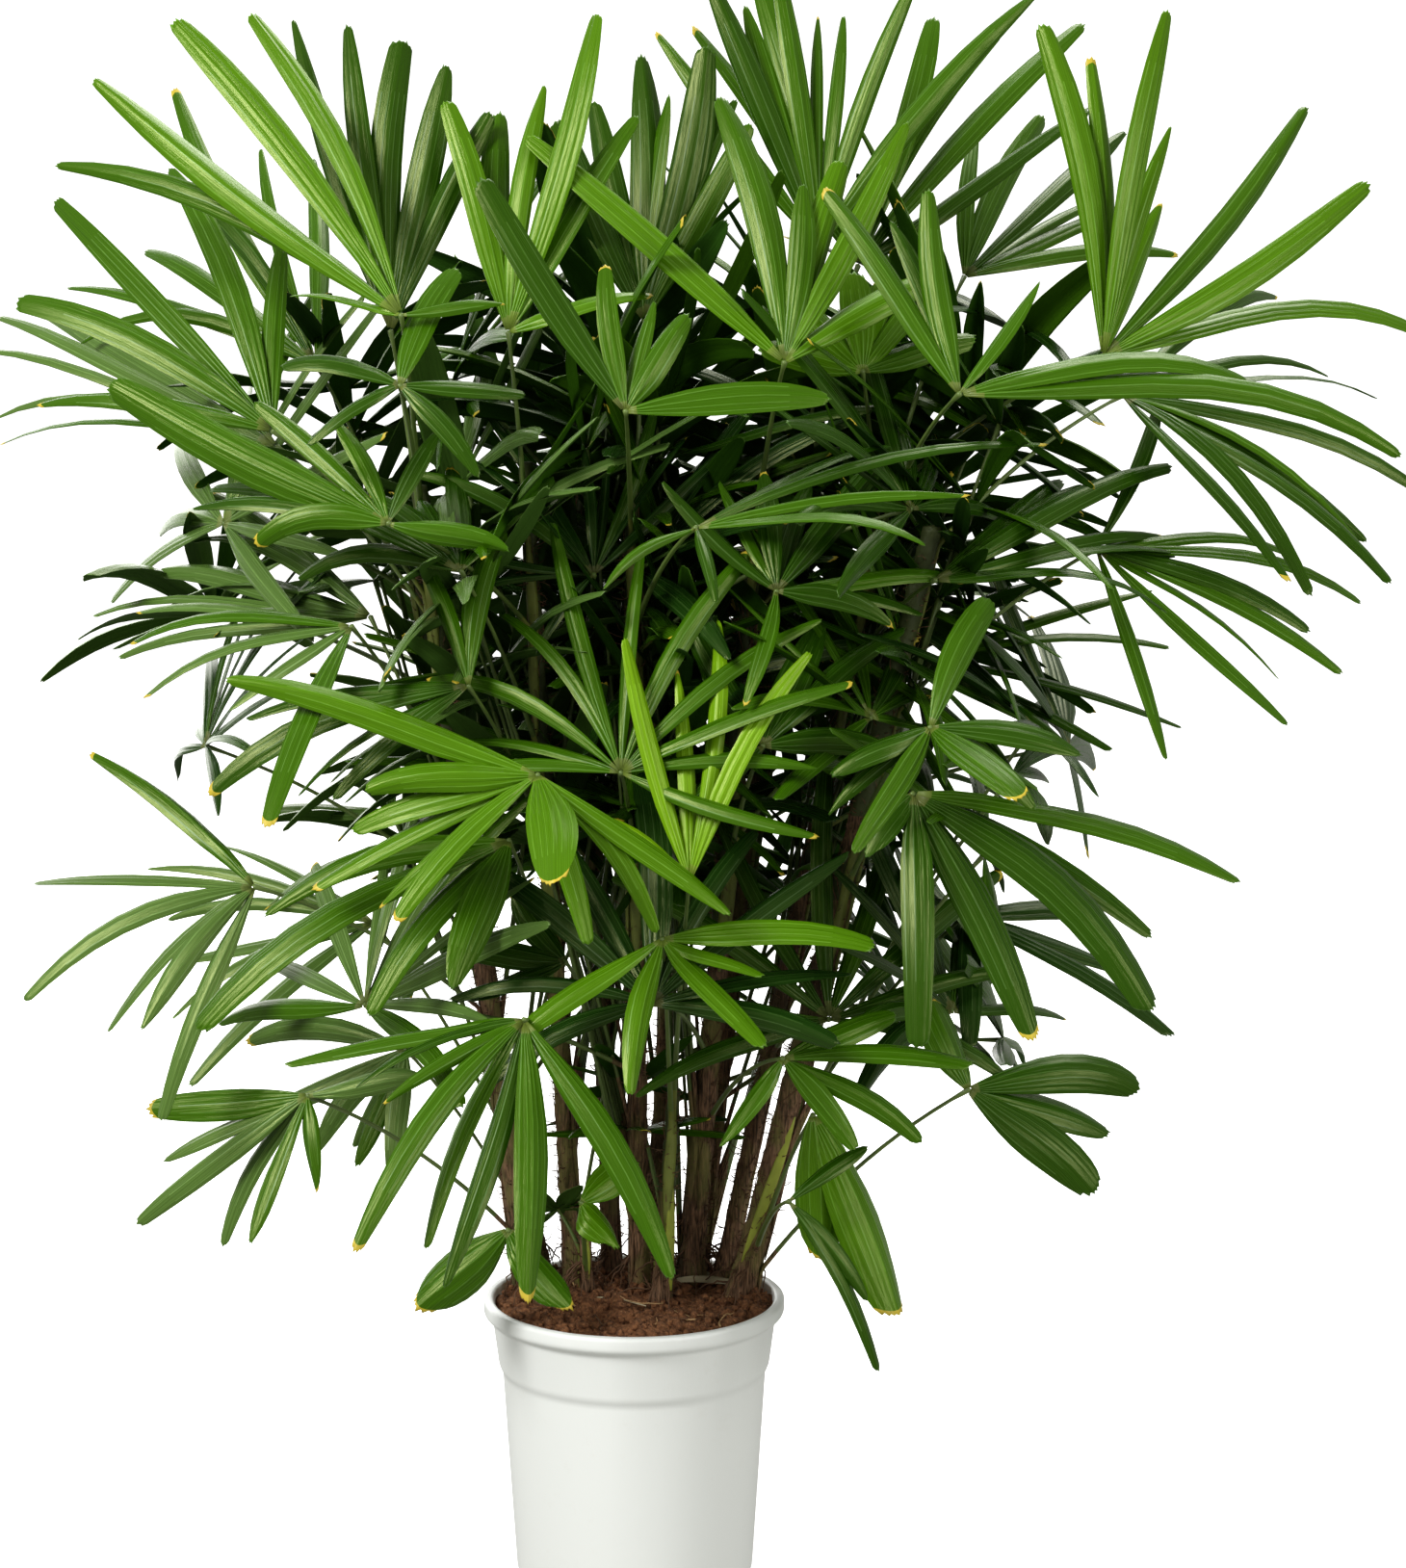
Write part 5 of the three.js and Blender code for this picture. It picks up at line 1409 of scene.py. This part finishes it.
def arch(start, first, second, end, along):
    """Points of a curve with two handles, and the directions along it."""
    left = 1 - along
    near, middle, far = left ** 2, 2 * left * along, along ** 2
    points = near * left * start + 3 * near * along * first + 3 * left * far * second + far * along * end
    return points, unit(near * (first - start) + middle * (second - first) + far * (end - second))


def leaflet_points(frond, leaflet, pleats, random):
    """Points of a leaflet of so many pleats, and the place of each in the leaf's own coordinates."""
    out, right, up = frond["face"]
    hub, length = frond["hub"], leaflet["length"]
    clock = math.radians(leaflet["clock"])
    tip = hub + length * (right * math.sin(clock) + up * math.cos(clock)) + out * leaflet["dip"]
    slim = max(1 - leaflet["width"] / SLIM_BELOW, 0)

    belly, narrows, cup = random(*BELLY), random(*TIP_NARROWS), random(*CUP)
    skyward, crease, droop = random(*SKYWARD), random(*CREASE), random(*DROOP)
    pleat_depth, phase = random(*PLEAT_DEPTH), random(0, 2 * math.pi)
    rise = frond["arch"] * random(*ARCH_VARIES) * length
    twist, sway = math.radians(random(-TWIST, TWIST)), random(-SWAY, SWAY) * length

    # Its outline: the width at each row, and how far each column is from the middle.
    column = np.arange(3 * pleats + 1)
    rows = ROWS[:, None]
    narrows = min(narrows + SLIM_POINT * slim, NARROWS_MOST)
    widening = mix(ROOT_WIDTH, 1, np.sin(np.minimum(rows / belly, 1) * math.pi / 2))
    narrowing = 1 - narrows * np.maximum((rows - belly) / (1 - belly), 0) ** TIP_CURVE
    width = leaflet["width"] * widening * narrowing
    pleat = width / pleats
    rib = np.minimum(RIB_WIDTH / 2 / pleat, RIB_MOST) * mix(1, RIB_TIP_SHARE, rows)
    part = np.array([0, 0.5, 0.5])[column % 3] + np.array([0, -1, 1])[column % 3] * rib
    across = (column // 3 + part) / pleats
    across = across + UNEVEN * (np.sin(2 * math.pi * across + phase) - math.sin(phase))
    from_middle = 2 * across - 1
    t = rows - TIP_ROUND * leaflet["width"] / length * rows ** ROUND_CURVE * from_middle ** 2
    along = t[..., None]

    # Its middle line, which arches and droops, and how the blade turns round that line.
    handle = (hub + tip) / 2 + unit(out + [0, 0, 1]) * rise
    upright = max((tip - hub)[2] / length, 0)
    first = mix(hub, handle, 2 / 3)
    second = mix(tip, handle, 2 / 3) + [0, 0, droop * length * max(1 - DROOP_LOST * upright, 0)]
    centre, ahead = arch(hub, first, second, tip, along)
    side = unit(np.cross(out, ahead))
    over = np.cross(ahead, side)
    level = np.array([0, 0, 1.0]) - ahead * ahead[..., 2:]
    to_sky = np.arctan2(-(level * side).sum(-1), (level * over).sum(-1))[..., None]
    to_sky = to_sky * skyward * np.linalg.norm(level, axis=-1, keepdims=True)
    eased = np.clip(along / TURNED_BY, 0, 1)
    angle = (math.radians(leaflet["roll"]) + to_sky) * eased ** 2 * (3 - 2 * eased) + twist * along ** 2
    side, over = (
        side * np.cos(angle) + over * np.sin(angle),
        over * np.cos(angle) - side * np.sin(angle),
    )

    # Its relief: ridges between the valleys, a crease, and edges that hang.
    depth = pleat * (pleat_depth + ROOT_DEPTH * np.maximum(1 - rows / ROOT_LENGTH, 0))
    hang = cup * from_middle ** 2 + crease * np.abs(from_middle)
    lift = (column % 3 > 0) * depth - hang * width / 2
    offset = -from_middle * width / 2
    top = centre + side * (offset + sway * np.sin(math.pi * t))[..., None] + over * lift[..., None]
    bottom = top - over * SHEET

    teeth = []
    for ridge in range(1, 3 * pleats, 3):
        reach = random(*TOOTH) * (1 - slim)
        middle = (top[-1, ridge] + top[-1, ridge + 1]) / 2
        teeth.append(middle + ahead[-1, ridge] * reach - over[-1, ridge] * SHEET / 2)
    grain = np.stack([offset + GRAIN_APART * frond["number"], t * length + leaflet["clock"]], -1)
    grain = grain.reshape(-1, 2)
    points = np.concatenate([top.reshape(-1, 3), bottom.reshape(-1, 3), teeth])
    return points, np.concatenate([grain, grain, np.zeros((pleats, 2))])


# %% All leaflets, gathered by tone
SLIMNESS = (0.6, 0.9)  # width as a share of the solid's leaflet, which stands for more than one
WIDTH_VARIES = (0.85, 1.12)
PLEAT_WIDTH = 5.6
PLEATS = (2, 6)
NEIGHBOURS = {
    "dusky": "deep", "deep": "leafy", "leafy": "deep",
    "dusty": "leafy", "bright": "leafy", "fresh": "bright",
}
STRAY_TONE = 0.16  # share of leaflets with the neighbouring tone
YELLOW_TIPS = 0.27  # share of leaflets whose teeth have turned
plans = {pleats: leaflet_plan(pleats) for pleats in range(PLEATS[0], PLEATS[1] + 1)}
leaf_bunches = {}
for frond in fronds:
    random = Draws(4 * LEAFLET_SEED + frond["number"])
    slimness = frond.get("slimness", random(*SLIMNESS))
    for leaflet in frond["leaflets"]:
        leaflet["width"] *= slimness * random(*WIDTH_VARIES)
        tone = NEIGHBOURS[frond["tone"]] if random(0, 1) < STRAY_TONE else frond["tone"]
        pleats = min(max(round(leaflet["width"] / PLEAT_WIDTH), PLEATS[0]), PLEATS[1])
        plan = plans[pleats]
        points, grain = leaflet_points(frond, leaflet, pleats, random)
        kinds = [plan["kinds"], np.full(len(plan["teeth"]), TIP)]
        if random(0, 1) > YELLOW_TIPS:
            kinds = [np.where(kinds[0] == TIP, BLADE, kinds[0]), np.full(len(kinds[1]), RIB)]
        side = "front" if frond["hub"][1] < 0 else "back"
        bunch, _ = leaf_bunches.setdefault(f"leaflets_{tone}_{side}", (Bunch(), leaf_sets[tone]))
        bunch.add(points, [plan["quads"], plan["teeth"]], kinds, grain, plan["folds"])
for name, (bunch, finishes) in sorted(leaf_bunches.items()):
    seat(bunch.make(name, finishes), FROND_NODES)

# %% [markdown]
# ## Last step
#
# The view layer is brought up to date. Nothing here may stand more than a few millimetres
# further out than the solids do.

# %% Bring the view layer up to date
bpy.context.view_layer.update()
